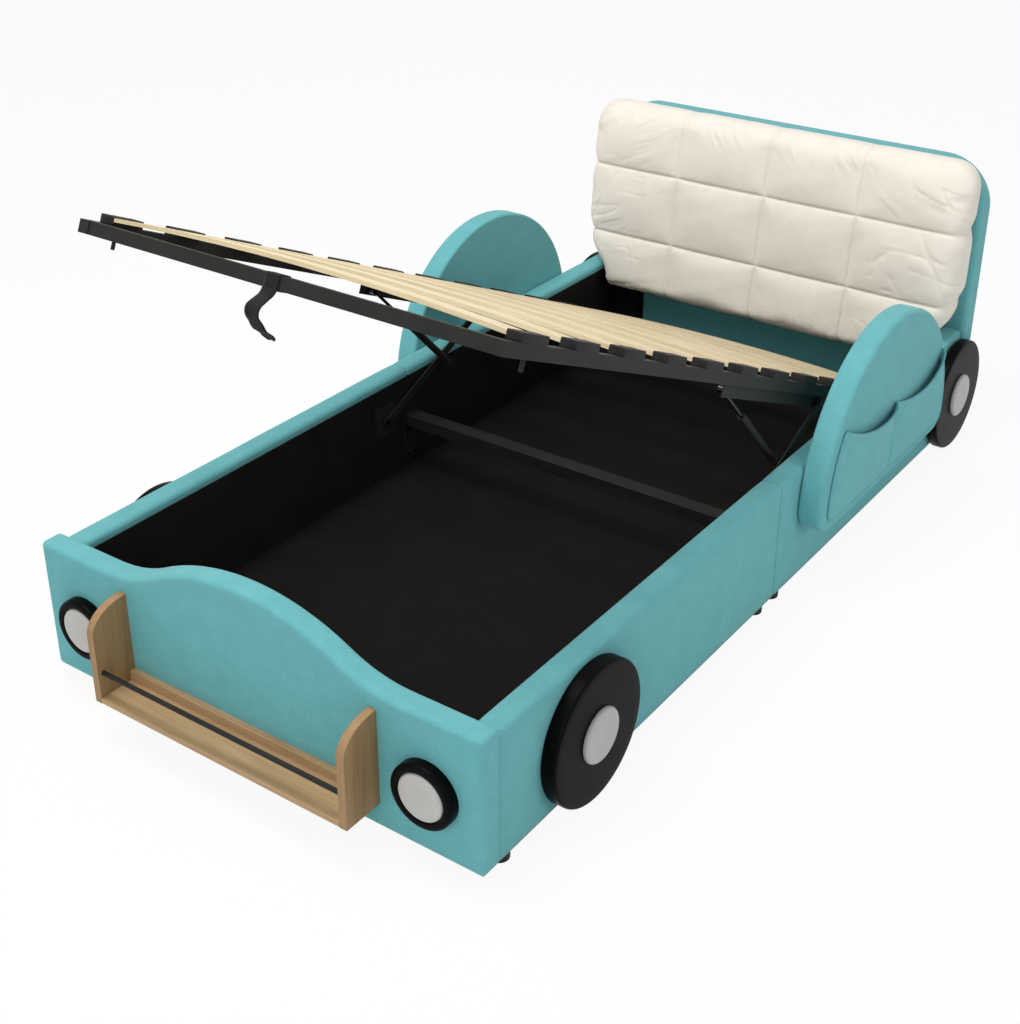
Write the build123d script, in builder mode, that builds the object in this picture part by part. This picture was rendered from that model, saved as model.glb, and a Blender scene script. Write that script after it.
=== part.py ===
"""Upholstered storage bed shaped like a car, with a slatted platform raised on a lift mechanism.

Millimetres. +Z is up, +Y points from the nose to the headboard and +X is the side seen on the right.
The origin is on the floor, in the middle of the bed's length and width. "along" gives the row's y of a
point that lies that far behind the front panel's face.
"""
import os
from math import asin, atan2, cos, hypot, sin, sqrt

from build123d import *

# General fits
gap = 0.3  # between neighbours that only lie side by side
pin_play = 0.05  # radial play of a pivot pin in its eye
ground_gap = 29.0  # the panels stand this far off the floor
pad = 6.0  # foam and fabric round a board

# Front panel with its hump
panel_width = 1110.0
front_thickness = 51.0
front_low_top = 327.0
hump_top = 417.0
hump_radius = 505.0
hump_blend = 300.0
panel_edge = 11.0

# Side rails
rail_length = 2100.0
rail_seam = 1055.0  # seam, measured from the front panel's back
rail_thickness = 55.0
rail_inset = 5.5  # rail's outer face behind the panel's end
rail_top = 312.5
rail_round = 12.0
seam_round = 3.0
lining = 4.0  # black lining board
strip_depth = 21.0  # teal strip left above the lining

# Headboard and its cushion
head_thickness = 72.0
head_top = 760.0
head_corner = 130.0
cushion_overhang = 5.0  # cushion beyond the headboard's ends
cushion_top = 789.0
cushion_bottom = 243.0
cushion_corner = 67.0
cushion_columns = 4
cushion_rows = (243.0, 413.0, 605.0, 789.0)
cushion_depths = (161.0, 139.0, 118.0, 83.0)  # groove to headboard at each row seam
cushion_crown = 19.0
cushion_draw = 11.0  # sides drawn in at the seams
end_round = 24.0  # roundness of the cushion's ends in plan

# Side discs and their pockets
disc_centre = 1550.0
disc_height = 214.0
disc_radius = 356.0
disc_foot = 149.0
disc_foot_corner = 60.0
disc_thickness = 58.5
disc_edge = 14.0
pocket_inset = 28.0
pocket_skin = 3.0
pocket_depth = 9.0
pocket_hem = ((-271.0, 391.0), (-106.0, 340.8), (9.0, 352.9), (150.0, 336.7), (289.0, 389.2))

# Wheels and hub caps
wheel_radius = 148.0
wheel_height = 150.0
wheel_front = 326.0
wheel_rear = 2102.0
wheel_thickness = 31.5
wheel_edge = 5.0
boss_radius = 40.0  # boss that holds a rear wheel clear of the headboard
hub_radius = 57.0
hub_proud = 11.0

# Headlights
light_spread = 435.0
light_height = 168.0
ring_radius = 67.5
lens_radius = 50.0
ring_depth = 25.0
lens_proud = 3.0

# Nose shelf
shelf_half = 325.0
shelf_depth = 92.0
shelf_side = 18.0
shelf_foot = 86.5
shelf_top = 295.0
shelf_curve_start = 240.0
shelf_crest = 10.0
shelf_base = 12.0
back_strip = 15.0
back_strip_height = 22.0
rod_radius = 5.0
rod_height = 153.0
rod_setback = 13.0
wood_edge = 1.5

# Storage box
floor_top = 42.0
floor_thickness = 9.0
bearer_width = 60.0
bearer_places = (250.0, 1106.0, 1900.0)
beam_width = 40.0
beam_height = 30.0
beam_top = 192.0
beam_wall = 1.5
plate_width = 45.0
plate_foot = 62.0
plate_thickness = 5.0
bolt_head = 7.0
bolt_height = 3.5
angle_leg = 30.0
angle_thickness = 2.5
angle_foot = 70.0
angle_height = 120.0
block_width = 69.0
block_depth = 44.0
foot_radius = 20.0
ledge_depth = 20.0
ledge_height = 20.0
ledge_inner = 60.0
ledge_outer = 430.0
ledge_play = 2.0

# Platform: s runs along it from the first slat's front edge, h is height above the slat caps' top
platform_start = 204.8
platform_height = 975.4
platform_rear_height = 225.5  # raised platform's height at its head end
closed_start = 101.0
closed_height = 283.0
tube_width = 25.0
tube_height = 26.0
tube_wall = 1.5
tube_front = -45.4
tube_back = 1840.0
tube_top = -17.0
side_play = 3.5  # platform edge to the rail's lining
slat_count = 11
slat_pitch = 171.5
slat_width = 75.0
slat_thickness = 8.0
slat_bow = 17.0
slat_end = 4.5  # slat's top below the caps' top at its ends
cap_length = 80.0
cap_width = 35.0
cap_lip = 9.0  # cap beyond the slat's end
plug_reach = 14.0
plug_plate = 2.0
peg_place = 35.0
peg_radius = 4.0
peg_length = 22.0

# Pull strap, its path in s and h from the foot tube's front top edge
strap_width = 34.0
strap_thickness = 2.0
strap_play = 0.4
strap_path = ((0.0, -6.0), (-2.0, -24.0), (-50.0, -58.0), (-36.0, -84.0), (0.0, -104.0), (50.0, -114.0))
strap_bends = (15.0, 14.0, 28.0, 60.0)

# Lift mechanism, one lane after the other from the lining inwards
base_thickness = 2.5
arm_thickness = 4.0
arm_lane = 6.5  # arm's outer face from the lining
arm_half = 10.0
rear_arm_half = 8.0
eye_margin = 8.0
rear_eye_margin = 5.0
arm_plate_reach = 38.0
arm_plate_below = 40.0
arm_plate_above = 42.0
rear_plate_reach = 34.0
rear_plate_below = 30.0
rear_plate_above = 34.0
arm_pivot_reach = 423.0  # arm's pivot from the middle of its upper pin's travel
upper_pin = (1341.0, -58.0)
rear_pin = (1700.0, -62.0)
rear_pivot_reach = 100.0
spring_share = 0.558  # place of the gas spring's lower pin along the arm
spring_drop = 12.0
spring_pin = (844.0, -57.0)
bracket_lane = 14.5  # bracket's outer face from the lining
bracket_flange = 13.0
bracket_metal = 3.0
bracket_depth = 28.0
rear_bracket_depth = 32.0
bracket_overrun = 30.0
pin_radius = 5.0
small_pin = 4.0
pin_overrun = 1.0  # a pin's end beyond its eye
washer_radius = 8.0
head_thickness_pin = 2.6
cylinder_radius = 9.0
cylinder_wall = 1.2
cylinder_length = 245.0
cylinder_start = 20.0
cylinder_base = 2.0
cylinder_seal = 8.0
spring_lane = 31.5  # gas spring's axis from the lining
eye_length = 16.0
eye_radius = 9.0
rod_eye_length = 12.0
gas_rod_radius = 4.0
piston_length = 10.0
rod_inside = 118.0
stub_play = 0.5  # an opened pivot's stub ends this far from its bracket

# Places worked out from the driving sizes
inner_half = panel_width / 2 - rail_inset - rail_thickness  # face of the lining
outer_half = panel_width / 2 - rail_inset
rail_back = front_thickness + rail_length
bed_reach = max(rail_back + head_thickness, wheel_rear + wheel_radius)
front_y = (shelf_depth - bed_reach) / 2
tube_bottom = tube_top - tube_height
platform_half = inner_half - side_play
cushion_half = panel_width / 2 + cushion_overhang
tilt = asin((platform_height - platform_rear_height) / tube_back)
seam_y = front_thickness + rail_seam
sides = {"left": -1, "right": 1}


def along(distance):
    """Row y of a point this far behind the front panel's face."""
    return front_y + distance


def facing(distance):
    """Plane across the bed, facing the nose, this far behind the front panel's face."""
    return Plane(origin=(0, along(distance), 0), x_dir=(1, 0, 0), z_dir=(0, -1, 0))


def upright(side, x):
    """Plane along the bed, at x on the named side: local x is row y and local y is row z."""
    return Plane(origin=(side * x, 0, 0), x_dir=(0, 1, 0), z_dir=(1, 0, 0))


def level(z):
    """Plane facing up at this height."""
    return Plane.XY.offset(z)


def raised(s, h):
    """Row y and z of a platform point in the raised pose."""
    y = along(platform_start) + s * cos(tilt) + h * sin(tilt)
    z = platform_height - s * sin(tilt) + h * cos(tilt)
    return y, z


def lowered(s, h):
    """Row y and z of a platform point in the closed pose."""
    return along(closed_start) + s, closed_height + h


def across_platform(s):
    """Plane across the raised platform at s: local x is row x and local y is h."""
    y, z = raised(s, 0)
    return Plane(origin=(0, y, z), x_dir=(1, 0, 0), z_dir=(0, -cos(tilt), sin(tilt)))


def beside_platform(x):
    """Plane along the raised platform at row x: local x is s and local y is h."""
    y, z = raised(0, 0)
    return Plane(origin=(x, y, z), x_dir=(0, cos(tilt), -sin(tilt)), z_dir=(1, 0, 0))


def on_platform(h):
    """Plane of the raised platform at height h: local x is row x and local y is s."""
    y, z = raised(0, h)
    return Plane(origin=(0, y, z), x_dir=(1, 0, 0), z_dir=(0, sin(tilt), cos(tilt)))


def pivot_for(pin, reach):
    """Fixed pivot of an arm that carries a platform pin from the raised to the closed pose.

    It lies on the line that halves the pin's travel squarely, below it, this far from the travel's middle.
    """
    (y0, z0), (y1, z1) = raised(*pin), lowered(*pin)
    travel = hypot(y1 - y0, z1 - z0)
    y = (y0 + y1) / 2 + reach * (z1 - z0) / travel * pivot_sign(pin)
    z = (z0 + z1) / 2 - reach * (y1 - y0) / travel * pivot_sign(pin)
    return y, z


def pivot_sign(pin):
    """Side of the travel on which the pivot lies: always the lower one."""
    return 1 if lowered(*pin)[0] > raised(*pin)[0] else -1


def middle_of_arc(centre, start, end):
    """Point halfway along the short arc from start to end about centre."""
    radius = hypot(start[0] - centre[0], start[1] - centre[1])
    dx = (start[0] + end[0]) / 2 - centre[0]
    dy = (start[1] + end[1]) / 2 - centre[1]
    reach = hypot(dx, dy)
    return centre[0] + radius * dx / reach, centre[1] + radius * dy / reach


def write(piece, label):
    piece.part.label = label
    export_step(piece.part, f"parts/{label}.step")


os.makedirs("parts", exist_ok=True)


# Front panel

def front_outline(inset):
    """Edges of the front panel seen from the nose, drawn in by inset at the top and the ends."""
    half = panel_width / 2 - inset
    low = front_low_top - inset
    radius = hump_radius - inset
    blend = hump_blend + inset
    hump_z = hump_top - hump_radius
    blend_z = low + blend
    blend_x = sqrt((radius + blend) ** 2 - (blend_z - hump_z) ** 2)
    share = radius / (radius + blend)
    touch = (share * blend_x, hump_z + share * (blend_z - hump_z))
    foot = (blend_x, low)
    dip = middle_of_arc((blend_x, blend_z), touch, foot)
    Polyline((-foot[0], low), (-half, low), (-half, ground_gap), (half, ground_gap), (half, low), foot)
    ThreePointArc(foot, dip, touch)
    ThreePointArc(touch, (0, hump_top - inset), (-touch[0], touch[1]))
    ThreePointArc((-touch[0], touch[1]), (-dip[0], dip[1]), (-foot[0], low))


with BuildPart() as front_board:
    with BuildSketch(facing(pad)):
        with BuildLine():
            front_outline(pad)
        make_face()
    extrude(amount=-(front_thickness - pad - lining))
write(front_board, "front_panel_board")

with BuildPart() as front_lining:
    with BuildSketch(facing(front_thickness - lining)):
        with Locations((0, (ground_gap + front_low_top - strip_depth) / 2)):
            Rectangle(2 * inner_half - 2 * gap, front_low_top - strip_depth - ground_gap)
    extrude(amount=-lining)

with BuildPart() as front_cover:
    with BuildSketch(facing(0)):
        with BuildLine():
            front_outline(0)
        make_face()
    extrude(amount=-front_thickness)
    front_faces = front_cover.faces().filter_by(Axis.Y)
    rims = front_faces.edges().filter_by(lambda edge: edge.center().Z > ground_gap + 1)
    fillet(rims, radius=panel_edge)
    add(front_board.part, mode=Mode.SUBTRACT)
    add(front_lining.part, mode=Mode.SUBTRACT)
write(front_cover, "front_panel_cover")


# Side rails, each side in a front and a rear section

rail_spans = {"front": (front_thickness, seam_y), "rear": (seam_y, rail_back)}
board_inner = inner_half + lining
board_outer = outer_half - pad
lining_top = rail_top - strip_depth

for side_name, side in sides.items():
    for section, (start, end) in rail_spans.items():
        with BuildPart() as rail_board:
            with BuildSketch(facing(start)):
                with Locations((side * (board_inner + board_outer) / 2, (ground_gap + rail_top - pad) / 2)):
                    Rectangle(board_outer - board_inner, rail_top - pad - ground_gap)
            extrude(amount=-(end - start))
        write(rail_board, f"side_rail_board_{section}_{side_name}")

        with BuildPart() as rail_cover:
            with BuildSketch(facing(start)):
                with Locations((side * (inner_half + outer_half) / 2, (ground_gap + rail_top) / 2)):
                    outline = Rectangle(rail_thickness, rail_top - ground_gap)
                fillet(outline.vertices().group_by(Axis.Y)[-1], radius=rail_round)
            extrude(amount=-(end - start))
            ends = rail_cover.faces().filter_by(Axis.Y)
            fillet(ends.edges().filter_by(lambda edge: edge.center().Z > ground_gap + 1), radius=seam_round)
            add(rail_board.part, mode=Mode.SUBTRACT)
            with BuildSketch(facing(start)):
                with Locations((side * (inner_half + lining / 2), (ground_gap + lining_top) / 2)):
                    Rectangle(lining, lining_top - ground_gap)
            extrude(amount=-(end - start), mode=Mode.SUBTRACT)
        write(rail_cover, f"side_rail_cover_{section}_{side_name}")

with BuildPart() as box_lining:
    add(front_lining.part)
    for side in sides.values():
        for start, end in rail_spans.values():
            with BuildSketch(facing(start)):
                with Locations((side * (inner_half + lining / 2), (ground_gap + lining_top) / 2)):
                    Rectangle(lining, lining_top - ground_gap)
            extrude(amount=-(end - start - gap))
write(box_lining, "box_lining")


# Headboard

def head_outline(inset):
    """Headboard seen from the nose, with large upper corners, drawn in by inset."""
    with Locations((0, (ground_gap + head_top - inset) / 2)):
        shape = Rectangle(panel_width - 2 * inset, head_top - inset - ground_gap)
    fillet(shape.vertices().group_by(Axis.Y)[-1], radius=head_corner - inset)


with BuildPart() as head_board:
    with BuildSketch(facing(rail_back + pad)):
        head_outline(pad)
    extrude(amount=-(head_thickness - 2 * pad))
write(head_board, "headboard_board")

with BuildPart() as head_cover:
    with BuildSketch(facing(rail_back)):
        head_outline(0)
    extrude(amount=-head_thickness)
    head_faces = head_cover.faces().filter_by(Axis.Y)
    fillet(head_faces.edges().filter_by(lambda edge: edge.center().Z > ground_gap + 1), radius=panel_edge)
    add(head_board.part, mode=Mode.SUBTRACT)
write(head_cover, "headboard_cover")


# Headboard cushion: rows of crowned cells, drawn in at every seam

def cushion_section(z, depth, crown, half):
    """Plan of the cushion at height z: a flat back, bulged ends and one arc for each cell in front."""
    back = along(rail_back - gap)
    groove = back - depth
    edge = half - end_round
    cell = 2 * edge / cushion_columns
    with BuildSketch(level(z)) as section:
        with BuildLine():
            Line((edge, back), (-edge, back))
            left_end = (-edge, groove + end_round / 3)
            right_end = (edge, groove + end_round / 3)
            ThreePointArc((-edge, back), (-half, (back + groove) / 2), left_end)
            for column in range(cushion_columns):
                x0 = -edge + column * cell
                x1 = x0 + cell
                y0 = left_end[1] if column == 0 else groove
                y1 = right_end[1] if column == cushion_columns - 1 else groove
                ThreePointArc((x0, y0), ((x0 + x1) / 2, groove - crown), (x1, y1))
            ThreePointArc(right_end, (half, (back + groove) / 2), (edge, back))
        make_face()
    return section.sketch


with BuildPart() as cushion:
    for row in range(len(cushion_rows) - 1):
        low, high = cushion_rows[row], cushion_rows[row + 1]
        deep, shallow = cushion_depths[row], cushion_depths[row + 1]
        middle, swell = (low + high) / 2, (deep + shallow) / 2 + cushion_crown / 3
        loft([cushion_section(low, deep, cushion_crown / 5, cushion_half - cushion_draw),
              cushion_section(middle, swell, cushion_crown, cushion_half),
              cushion_section(high, shallow, cushion_crown / 5, cushion_half - cushion_draw)])
    with BuildSketch(facing(rail_back)) as silhouette:
        with Locations((0, (cushion_bottom + cushion_top) / 2)):
            frame = Rectangle(2 * cushion_half, cushion_top - cushion_bottom)
        fillet(frame.vertices().group_by(Axis.Y)[-1], radius=cushion_corner)
    extrude(amount=2 * cushion_depths[0], mode=Mode.INTERSECT)
    with BuildSketch(facing(rail_back)):
        for side in sides.values():
            with Locations((side * (inner_half - 1 + rail_thickness), cushion_bottom)):
                Rectangle(2 * rail_thickness, 2 * (rail_top + 1 - cushion_bottom))
    extrude(amount=2 * cushion_depths[0], mode=Mode.SUBTRACT)
write(cushion, "headboard_cushion")


# Side discs with sewn pockets

def disc_outline(inset):
    """Disc with its flat foot, drawn in by inset."""
    with Locations((along(disc_centre), disc_height)):
        Circle(disc_radius - inset)
    foot = disc_foot + inset
    with Locations((along(disc_centre), foot - disc_radius)):
        Rectangle(3 * disc_radius, 2 * disc_radius, mode=Mode.SUBTRACT)


def round_foot(sketch, inset):
    corners = sketch.vertices().group_by(Axis.Y)[0]
    fillet(corners, radius=disc_foot_corner - inset)


disc_face = outer_half + disc_thickness

with BuildPart() as disc_boards:
    for side in sides.values():
        with BuildSketch(upright(side, outer_half + pad)) as board_sketch:
            disc_outline(pad)
            round_foot(board_sketch, pad)
        extrude(amount=side * (disc_thickness - 2 * pad))
write(disc_boards, "side_disc_boards")

for side_name, side in sides.items():
    with BuildPart() as disc_cover:
        with BuildSketch(upright(side, outer_half)) as cover_sketch:
            disc_outline(0)
            round_foot(cover_sketch, 0)
        extrude(amount=side * disc_thickness)
        rims = disc_cover.faces().filter_by(Axis.X).edges()
        fillet(rims.filter_by(lambda edge: abs(edge.center().X) > outer_half + 1), radius=disc_edge)
        fillet(rims.filter_by(lambda edge: abs(edge.center().X) < outer_half + 1), radius=disc_edge / 2)
        add(disc_boards.part, mode=Mode.SUBTRACT)
        with BuildSketch(upright(side, outer_half)):
            with Locations((along(disc_centre), (disc_foot + rail_top) / 2)):
                Rectangle(disc_radius, (rail_top - disc_foot) / 2)
        extrude(amount=side * pad, mode=Mode.SUBTRACT)
    write(disc_cover, f"side_disc_cover_{side_name}")

    hem = [(along(disc_centre + y), z) for y, z in pocket_hem]
    with BuildPart() as pocket:
        with BuildSketch(upright(side, disc_face)) as pocket_sketch:
            disc_outline(pocket_inset)
            round_foot(pocket_sketch, pocket_inset)
            with BuildLine():
                low = disc_foot - disc_radius
                ThreePointArc(hem[0], hem[1], hem[2])
                ThreePointArc(hem[2], hem[3], hem[4])
                Polyline(hem[4], (hem[4][0] + disc_radius, hem[4][1]), (hem[4][0] + disc_radius, low),
                         (hem[0][0] - disc_radius, low), (hem[0][0] - disc_radius, hem[0][1]), hem[0])
            make_face(mode=Mode.INTERSECT)
        extrude(amount=side * (pocket_depth + pocket_skin))
        with BuildSketch(upright(side, disc_face)) as hollow:
            disc_outline(pocket_inset + pocket_skin)
            round_foot(hollow, pocket_inset + pocket_skin)
            with Locations((hem[2][0], disc_height)):
                Rectangle(pocket_skin, 3 * disc_radius, mode=Mode.SUBTRACT)
        extrude(amount=side * pocket_depth, mode=Mode.SUBTRACT)
    write(pocket, f"side_pocket_{side_name}")


# Wheels and hub caps

for side_name, side in sides.items():
    for place, distance in (("front", wheel_front), ("rear", wheel_rear)):
        stand_off = rail_inset + gap if place == "rear" else 0
        with BuildPart() as wheel:
            with BuildSketch(upright(side, outer_half + stand_off)):
                with Locations((along(distance), wheel_height)):
                    Circle(wheel_radius)
            extrude(amount=side * (wheel_thickness - stand_off))
            fillet(wheel.edges().filter_by(GeomType.CIRCLE), radius=wheel_edge)
            if stand_off:
                with BuildSketch(upright(side, outer_half)):
                    with Locations((along(distance), wheel_height)):
                        Circle(boss_radius)
                extrude(amount=side * stand_off)
        write(wheel, f"wheel_{place}_{side_name}")

with BuildPart() as hub_caps:
    for side in sides.values():
        for distance in (wheel_front, wheel_rear):
            with BuildSketch(upright(side, outer_half + wheel_thickness)):
                with Locations((along(distance), wheel_height)):
                    Circle(hub_radius)
            extrude(amount=side * hub_proud)
    hub_rims = hub_caps.faces().filter_by(Axis.X).edges()
    outer_rims = hub_rims.filter_by(lambda edge: abs(edge.center().X) > outer_half + wheel_thickness + 1)
    fillet(outer_rims, radius=hub_proud * 0.7)
write(hub_caps, "hub_caps")


# Headlights

light_places = [(side * light_spread, light_height) for side in sides.values()]

with BuildPart() as rings:
    with BuildSketch(facing(0)):
        with Locations(light_places):
            Circle(ring_radius)
            Circle(lens_radius + gap, mode=Mode.SUBTRACT)
    extrude(amount=ring_depth)
    fillet(rings.faces().group_by(Axis.Y)[0].edges(), radius=(ring_radius - lens_radius) / 3)
write(rings, "headlight_rings")

with BuildPart() as lenses:
    with BuildSketch(facing(0)):
        with Locations(light_places):
            Circle(lens_radius)
    extrude(amount=ring_depth + lens_proud)
    fillet(lenses.faces().group_by(Axis.Y)[0].edges(), radius=2 * lens_proud)
write(lenses, "headlight_lenses")


# Nose shelf

with BuildPart() as shelf_sides:
    nose, wall, crest = along(-shelf_depth), along(0), along(-shelf_crest)
    for side in sides.values():
        with BuildSketch(upright(side, shelf_half)):
            with BuildLine():
                Polyline((nose, shelf_curve_start), (nose, shelf_foot), (wall, shelf_foot), (wall, shelf_top),
                         (crest, shelf_top))
                EllipticalCenterArc((crest, shelf_curve_start), shelf_depth - shelf_crest,
                                    shelf_top - shelf_curve_start, start_angle=90, arc_size=90)
            make_face()
        extrude(amount=-side * shelf_side)
    fillet(shelf_sides.faces().filter_by(Axis.X).edges(), radius=wood_edge)
write(shelf_sides, "shelf_sides")

shelf_span = 2 * (shelf_half - shelf_side)
with BuildPart() as shelf_board:
    with BuildSketch(upright(1, 0)):
        with Locations((along(-shelf_depth / 2), shelf_foot + shelf_base / 2)):
            Rectangle(shelf_depth, shelf_base)
    extrude(amount=shelf_span / 2, both=True)
    fillet(shelf_board.edges().filter_by(Axis.X).group_by(Axis.Y)[0], radius=wood_edge)
write(shelf_board, "shelf_base")

with BuildPart() as shelf_strip:
    with BuildSketch(upright(1, 0)):
        with Locations((along(-back_strip / 2), shelf_foot + shelf_base + back_strip_height / 2)):
            Rectangle(back_strip, back_strip_height)
    extrude(amount=shelf_span / 2, both=True)
    fillet(shelf_strip.edges().filter_by(Axis.X).group_by(Axis.Z)[-1], radius=wood_edge)
write(shelf_strip, "shelf_back_strip")

with BuildPart() as shelf_rod:
    with BuildSketch(upright(1, 0)):
        with Locations((along(rod_setback - shelf_depth), rod_height)):
            Circle(rod_radius)
    extrude(amount=shelf_span / 2, both=True)
write(shelf_rod, "shelf_rod")


# Storage box floor, cross beam and fittings

with BuildPart() as floor_panels:
    for start, end in rail_spans.values():
        with BuildSketch(level(floor_top - floor_thickness)):
            with Locations((0, along((start + end) / 2))):
                Rectangle(2 * inner_half - 2 * gap, end - start - 2 * gap)
        extrude(amount=floor_thickness)
write(floor_panels, "floor_panels")

with BuildPart() as floor_bearers:
    with BuildSketch(level(0)):
        with Locations([(0, along(place)) for place in bearer_places]):
            Rectangle(2 * inner_half - bearer_width, bearer_width)
    extrude(amount=floor_top - floor_thickness)
write(floor_bearers, "floor_bearers")

beam_half = inner_half - plate_thickness
with BuildPart() as cross_beam:
    with BuildSketch(upright(-1, beam_half)):
        with Locations((along(seam_y), beam_top - beam_height / 2)):
            Rectangle(beam_width, beam_height)
            Rectangle(beam_width - 2 * beam_wall, beam_height - 2 * beam_wall, mode=Mode.SUBTRACT)
    extrude(amount=2 * beam_half)
write(cross_beam, "cross_beam")

with BuildPart() as joint_plates:
    for side in sides.values():
        with BuildSketch(upright(side, inner_half)):
            with Locations((along(seam_y), (plate_foot + beam_top) / 2)):
                Rectangle(plate_width, beam_top - plate_foot)
        extrude(amount=-side * plate_thickness)
write(joint_plates, "joint_plates")

with BuildPart() as joint_bolts:
    bolt_rows = (plate_foot + 2 * bolt_head, beam_top - beam_height - 2 * bolt_head)
    bolt_spread = plate_width / 2 - 1.6 * bolt_head
    bolt_places = [(along(seam_y + dy), z) for dy in (-bolt_spread, bolt_spread) for z in bolt_rows]
    for side in sides.values():
        with BuildSketch(upright(side, inner_half - plate_thickness)):
            with Locations(bolt_places):
                Circle(bolt_head)
        extrude(amount=-side * bolt_height)
    bolt_faces = joint_bolts.faces().filter_by(Axis.X)
    inner_rims = bolt_faces.edges().filter_by(
        lambda edge: abs(edge.center().X) < inner_half - plate_thickness - bolt_height / 2)
    fillet(inner_rims, radius=bolt_height / 2)
write(joint_bolts, "joint_bolts")

with BuildPart() as corner_angles:
    for side in sides.values():
        with BuildSketch(level(angle_foot)):
            for wide, deep in ((angle_leg, angle_thickness), (angle_thickness, angle_leg)):
                with Locations((side * (inner_half - wide / 2), along(front_thickness + deep / 2))):
                    Rectangle(wide, deep)
        extrude(amount=angle_height)
write(corner_angles, "corner_angles")

with BuildPart() as corner_blocks:
    with BuildSketch(level(floor_top)):
        for side in sides.values():
            with Locations((side * (inner_half - block_width / 2), along(rail_back - block_depth / 2))):
                Rectangle(block_width - gap, block_depth - gap)
    extrude(amount=cushion_bottom - 2 - floor_top)
write(corner_blocks, "corner_blocks")

with BuildPart() as panel_feet:
    foot_x = (inner_half + outer_half) / 2
    foot_inset = 2 * foot_radius
    foot_places = (front_thickness + foot_inset, seam_y - foot_inset,
                   seam_y + foot_inset, rail_back - foot_inset)
    with BuildSketch(level(0)):
        with Locations([(side * foot_x, along(place)) for side in sides.values() for place in foot_places]):
            Circle(foot_radius)
    extrude(amount=ground_gap)
    fillet(panel_feet.faces().sort_by(Axis.Z)[0:8].edges(), radius=foot_radius / 10)
write(panel_feet, "panel_feet")

with BuildPart() as front_ledge:
    ledge_top = closed_height + tube_bottom - ledge_play
    with BuildSketch(facing(front_thickness)):
        for side in sides.values():
            with Locations((side * (ledge_inner + ledge_outer) / 2, ledge_top - ledge_height / 2)):
                Rectangle(ledge_outer - ledge_inner, ledge_height)
    extrude(amount=-ledge_depth)
write(front_ledge, "front_ledge")


# Platform frame of square tube

def tube_profile():
    Rectangle(tube_width, tube_height)
    Rectangle(tube_width - 2 * tube_wall, tube_height - 2 * tube_wall, mode=Mode.SUBTRACT)


tube_middle = (tube_top + tube_bottom) / 2
for side_name, side in sides.items():
    with BuildPart() as side_tube:
        with BuildSketch(across_platform(tube_front)):
            with Locations((side * (platform_half - tube_width / 2), tube_middle)):
                tube_profile()
        extrude(amount=-(tube_back - tube_front))
    write(side_tube, f"platform_tube_{side_name}")

for tube_name, tube_s in (("foot", tube_front), ("head", tube_back - tube_width)):
    with BuildPart() as cross_tube:
        with BuildSketch(beside_platform(tube_width - platform_half)):
            with Locations((tube_s + tube_width / 2, tube_middle)):
                tube_profile()
        extrude(amount=2 * (platform_half - tube_width))
    write(cross_tube, f"platform_tube_{tube_name}")

with BuildPart() as tube_plugs:
    for side in sides.values():
        for end_s, inwards in ((tube_front, 1), (tube_back, -1)):
            with BuildSketch(across_platform(end_s)):
                with Locations((side * (platform_half - tube_width / 2), tube_middle)):
                    Rectangle(tube_width, tube_height)
            extrude(amount=inwards * plug_plate)
            with BuildSketch(across_platform(end_s)):
                with Locations((side * (platform_half - tube_width / 2), tube_middle)):
                    Rectangle(tube_width - 2 * tube_wall, tube_height - 2 * tube_wall)
            extrude(amount=-inwards * plug_reach)
write(tube_plugs, "tube_plugs")


# Bowed slats and their end caps

slat_half = platform_half - cap_lip
slat_places = [number * slat_pitch + (cap_length - slat_width) / 2 for number in range(slat_count)]

with BuildPart() as slats:
    for place in slat_places:
        with BuildSketch(across_platform(place)):
            with BuildLine():
                end_top = -slat_end
                end_low = end_top - slat_thickness
                ThreePointArc((-slat_half, end_top), (0, end_top + slat_bow), (slat_half, end_top))
                Line((slat_half, end_top), (slat_half, end_low))
                ThreePointArc((slat_half, end_low), (0, end_low + slat_bow), (-slat_half, end_low))
                Line((-slat_half, end_low), (-slat_half, end_top))
            make_face()
        extrude(amount=-slat_width)
write(slats, "slats")

with BuildPart() as slat_caps:
    cap_centres = [(side * (platform_half - cap_width / 2), number * slat_pitch + cap_length / 2)
                   for side in sides.values() for number in range(slat_count)]
    with BuildSketch(on_platform(tube_top)):
        with Locations(cap_centres):
            Rectangle(cap_width, cap_length)
    extrude(amount=-tube_top)
    add(slats.part, mode=Mode.SUBTRACT)
write(slat_caps, "slat_caps")


# Pull strap round the foot tube

strap_front = tube_front - strap_play - strap_thickness / 2
strap_top = tube_top + strap_play + strap_thickness / 2
strap_points = [(strap_front + s, strap_top + h) for s, h in strap_path]

with BuildPart() as pull_strap:
    with BuildSketch(beside_platform(-strap_width / 2)):
        with Locations((tube_front + tube_width / 2, tube_middle)):
            outer_strap = strap_play + strap_thickness
            RectangleRounded(tube_width + 2 * outer_strap, tube_height + 2 * outer_strap, outer_strap)
            Rectangle(tube_width + 2 * strap_play, tube_height + 2 * strap_play, mode=Mode.SUBTRACT)
        with BuildLine():
            FilletPolyline(*strap_points, radius=strap_bends)
        trace(line_width=strap_thickness)
    extrude(amount=strap_width)
write(pull_strap, "pull_strap")


# Lift mechanism

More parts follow.
